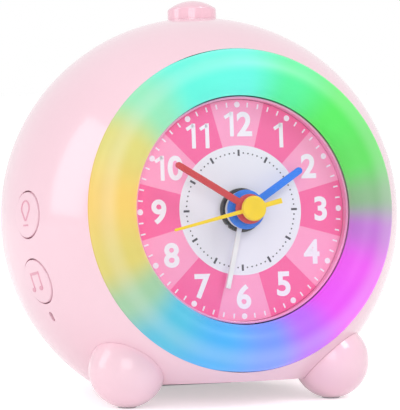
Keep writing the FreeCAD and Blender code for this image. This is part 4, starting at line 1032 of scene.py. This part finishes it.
# %% feet
FOOT_R, FOOT_X, FOOT_Y = 10.3, 29.4, 24.9
to_upright = UPRIGHT.inverted()
down = (to_upright.to_3x3() @ Vector((0, 0, -1))).normalized()
for name, node, side in (("foot_left", "left_foot", -1), ("foot_right", "right_foot", 1)):
    centre = to_upright @ Vector((side * FOOT_X * MM, ball_centre.y - FOOT_Y * MM, (FOOT_R - 0.05) * MM))
    sole = to_upright @ Vector((side * FOOT_X * MM, ball_centre.y - FOOT_Y * MM, 0.25 * MM))
    foot_shape = trimmed_ball(FOOT_R, [(sole, down)], 96, centre)
    foot_shape = carved(foot_shape, [trimmed_ball(BALL_R + 0.06, [((0, 0, -FLAT_Z - 0.02), (0, 0, -1))], 192)])
    foot_piece = piece(name, foot_shape, ball_pink, replaces=[node], limit=30)
    true_ball(foot_piece, [(centre, FOOT_R, 1), ((0, 0, 0), BALL_R + 0.06, -1)])
    print(name, len(foot_piece.data.polygons), "faces")

# %% [markdown]
# The setting knobs have twenty soft ribs. A rounded outline is spun with many
# steps, and then the points of its side are drawn in and out by a cosine of the
# angle, which makes every rib in one pass. The face is dished, with a thin ring.

# %% knobs
KNOB_R, KNOB_T, KNOB_SEAT = 6.0, 6.4, BACK_Y + 0.5
RIBS = 20
for knob, (x, z) in KNOB_PLACES.items():
    far = KNOB_SEAT + KNOB_T
    knob_outline = [(0.0, -KNOB_SEAT - 3.0), (1.5, -KNOB_SEAT - 3.0), (1.5, -KNOB_SEAT), (KNOB_R - 0.3, -KNOB_SEAT)]
    knob_outline += [(KNOB_R - 0.02, -KNOB_SEAT - 0.3), (KNOB_R - 0.02, -KNOB_SEAT - 1.2), (KNOB_R - 0.02, -far + 0.9)]
    knob_outline += arc(KNOB_R - 0.82, -far + 0.82, 0.8, 0, -90, 6)
    knob_outline += [(4.2, -far + 0.02), (3.9, -far + 0.25), (0.0, -far + 0.45)]
    knob_shape = profile_spin(knob_outline, RIBS * 8)
    for vert in knob_shape.verts:
        depth_in = vert.co.y - KNOB_SEAT
        if vert.co.xz.length > KNOB_R - 0.2 and depth_in > 1.0:
            wave = 0.5 - 0.5 * math.cos(RIBS * math.atan2(vert.co.z, vert.co.x))
            squeeze = 1 - 0.055 * wave
            vert.co.x *= squeeze
            vert.co.z *= squeeze
    bmesh.ops.translate(knob_shape, verts=knob_shape.verts, vec=(x, 0, z))
    piece(knob + "_ribbed", knob_shape, knob_white, body=knob.replace("_knob", "_setting"), replaces=[knob],
          limit=40)
print("knobs ready")

# %% [markdown]
# The battery door is a flat cover with rounded edges, a row of finger ridges and a
# screw tab at its lower end, so that small hands can't open it.

# %% battery door
door_low = (-BAY_W / 2 + 0.2, BACK_Y - 1.8, BAY_Z - BAY_H / 2 + 0.2)
door_high = (BAY_W / 2 - 0.2, BACK_Y - 0.02, BAY_Z + BAY_H / 2 - 0.2)
door_shape = slab(door_low, door_high)
bmesh.ops.bevel(door_shape, geom=door_shape.edges[:], offset=0.35, segments=3, profile=0.5, affect="EDGES", material=-1)
bridge = slab((-3.4, BACK_Y - 0.3, DOOR_SCREW_Z), (3.4, BACK_Y + 1.18, DOOR_SCREW_Z + 6.0))
bmesh.ops.bevel(bridge, geom=bridge.edges[:], offset=0.25, segments=2, profile=0.5, affect="EDGES", material=-1)
tab = rod(3.38, (0, BACK_Y + 0.02, DOOR_SCREW_Z), (0, 1, 0), 1.16, 48)
ridges = []
for n in range(5):
    ridge = slab((-8, BACK_Y - 0.6, BAY_Z + 3 + n * 1.9), (8, BACK_Y + 0.45, BAY_Z + 3.8 + n * 1.9))
    bmesh.ops.bevel(ridge, geom=ridge.edges[:], offset=0.22, segments=2, profile=0.5, affect="EDGES", material=-1)
    ridges.append(ridge)
door_shape = carved(door_shape, [bridge, tab] + ridges, "UNION")
door_shape = carved(door_shape, [rod(1.3, (0, BACK_Y - 3, DOOR_SCREW_Z), (0, 1, 0), 6, 32)])
piece("cell_door", door_shape, ball_pink, replaces=["battery_door"], limit=30)
print("battery door ready")

# %% [markdown]
# The photograph was cut out on white. A matt white floor with a little lift keeps
# that look, yet still takes the soft shadow between the feet. One soft key comes
# from the right, a tall window stands on the left, which makes the long faint
# highlight on the ball's flank, and a wide fill sits near the camera.

# %% floor and lights
floor_finish = Finish("floor_paper", Roughness=0.6)
fibre = floor_finish.noise(60.0, 3.0)
floor_finish.feed("Base Color", floor_finish.mix(fibre, (0.93, 0.93, 0.93, 1), (0.95, 0.95, 0.95, 1)))
rays = floor_finish.node("ShaderNodeLightPath")
seen = Value(floor_finish, rays.outputs["Is Camera Ray"])
for other in ("Is Transmission Ray", "Is Glossy Ray"):
    seen = seen + Value(floor_finish, rays.outputs[other])
lifted = floor_finish.node("ShaderNodeEmission", None, {"Strength": 0.45})
both = floor_finish.node("ShaderNodeAddShader", None, {0: floor_finish.shader.outputs[0], 1: lifted.outputs[0]})
blend = floor_finish.node("ShaderNodeMixShader", None, {
    0: seen._math("MINIMUM", 1.0), 1: floor_finish.shader.outputs[0], 2: both.outputs[0]})
floor_finish.tree.links.new(blend.outputs[0], floor_finish.tree.nodes["Material Output"].inputs["Surface"])
floor_shape = bmesh.new()
bmesh.ops.create_grid(floor_shape, x_segments=1, y_segments=1, size=6.0)
floor_mesh = bpy.data.meshes.new("floor")
floor_shape.to_mesh(floor_mesh)
floor_shape.free()
floor = bpy.data.objects.new("floor", floor_mesh)
floor_mesh.materials.append(floor_finish.material)
bpy.context.scene.collection.objects.link(floor)

world = bpy.data.worlds.new("studio")
bpy.context.scene.world = world
world.use_nodes = True
sky = world.node_tree
backdrop = sky.nodes["Background"]
backdrop.inputs["Color"].default_value = (1.0, 1.0, 1.0, 1.0)
backdrop.inputs["Strength"].default_value = 0.5
white = sky.nodes.new("ShaderNodeBackground")
white.inputs["Color"].default_value = (1.0, 1.0, 1.0, 1.0)
white.inputs["Strength"].default_value = 1.0
path_rays = sky.nodes.new("ShaderNodeLightPath")
sky_mix = sky.nodes.new("ShaderNodeMixShader")
chosen = path_rays.outputs["Is Camera Ray"]
for other in ("Is Transmission Ray", "Is Glossy Ray"):
    either = sky.nodes.new("ShaderNodeMath")
    either.operation = "MAXIMUM"
    sky.links.new(chosen, either.inputs[0])
    sky.links.new(path_rays.outputs[other], either.inputs[1])
    chosen = either.outputs[0]
sky.links.new(chosen, sky_mix.inputs[0])
sky.links.new(backdrop.outputs[0], sky_mix.inputs[1])
sky.links.new(white.outputs[0], sky_mix.inputs[2])
sky.links.new(sky_mix.outputs[0], sky.nodes["World Output"].inputs["Surface"])


def softbox(name, place, size, power, colour=(1.0, 1.0, 1.0)):
    """A soft rectangular lamp that looks at the clock."""
    lamp = bpy.data.lights.new(name, "AREA")
    lamp.shape = "RECTANGLE"
    lamp.size, lamp.size_y = size
    lamp.energy = power
    lamp.color = colour
    holder = bpy.data.objects.new(name, lamp)
    holder.location = place
    holder.rotation_euler = (ball_centre - Vector(place)).to_track_quat("-Z", "Y").to_euler()
    bpy.context.scene.collection.objects.link(holder)
    return holder


softbox("key_light", (0.45, -0.55, 0.75), (0.35, 0.35), 2.5)
softbox("window_light", (-0.735, 0.12, 0.35), (0.36, 0.62), 1.6)
softbox("fill_light", (-0.30, -0.80, 0.35), (0.50, 0.50), 1.7)
print("floor and lights ready")

# %% [markdown]
# The working pieces inside keep their frame shapes. Each gets the finish that its
# slot names, so that the movement, the boards and the cells look right as well.

# %% frame materials
CARRIED = {
    "ball_pink": ball_pink, "snooze_pink": snooze_pink, "ring_diffuser": ring_glow, "white_plastic": white_plastic,
    "lilac_cup": lilac_wall, "dial_print": lilac_wall, "lens_clear": lens_clear, "lamp_body": white_plastic,
    "black_plastic": black_plastic, "hand_white": hand_white, "hand_blue": hand_blue, "hand_red": hand_red,
    "hand_yellow": hand_yellow, "wheel_white": wheel_white, "wheel_brass": wheel_brass, "magnet": magnet_grey,
    "copper_coil": copper_coil, "board_green": board_green, "contact_steel": contact_steel,
    "screw_steel": screw_steel, "cell_wrap": cell_wrap, "pad_rubber": pad_rubber}
for entry in frame["record"]["subparts"]:
    node = frame["nodes"][entry["node"]]
    finish = CARRIED[entry["material_slot"]]
    for holder in node.material_slots:
        holder.material = finish
    if not node.material_slots:
        node.data.materials.append(finish)
print("frame pieces given their finishes")
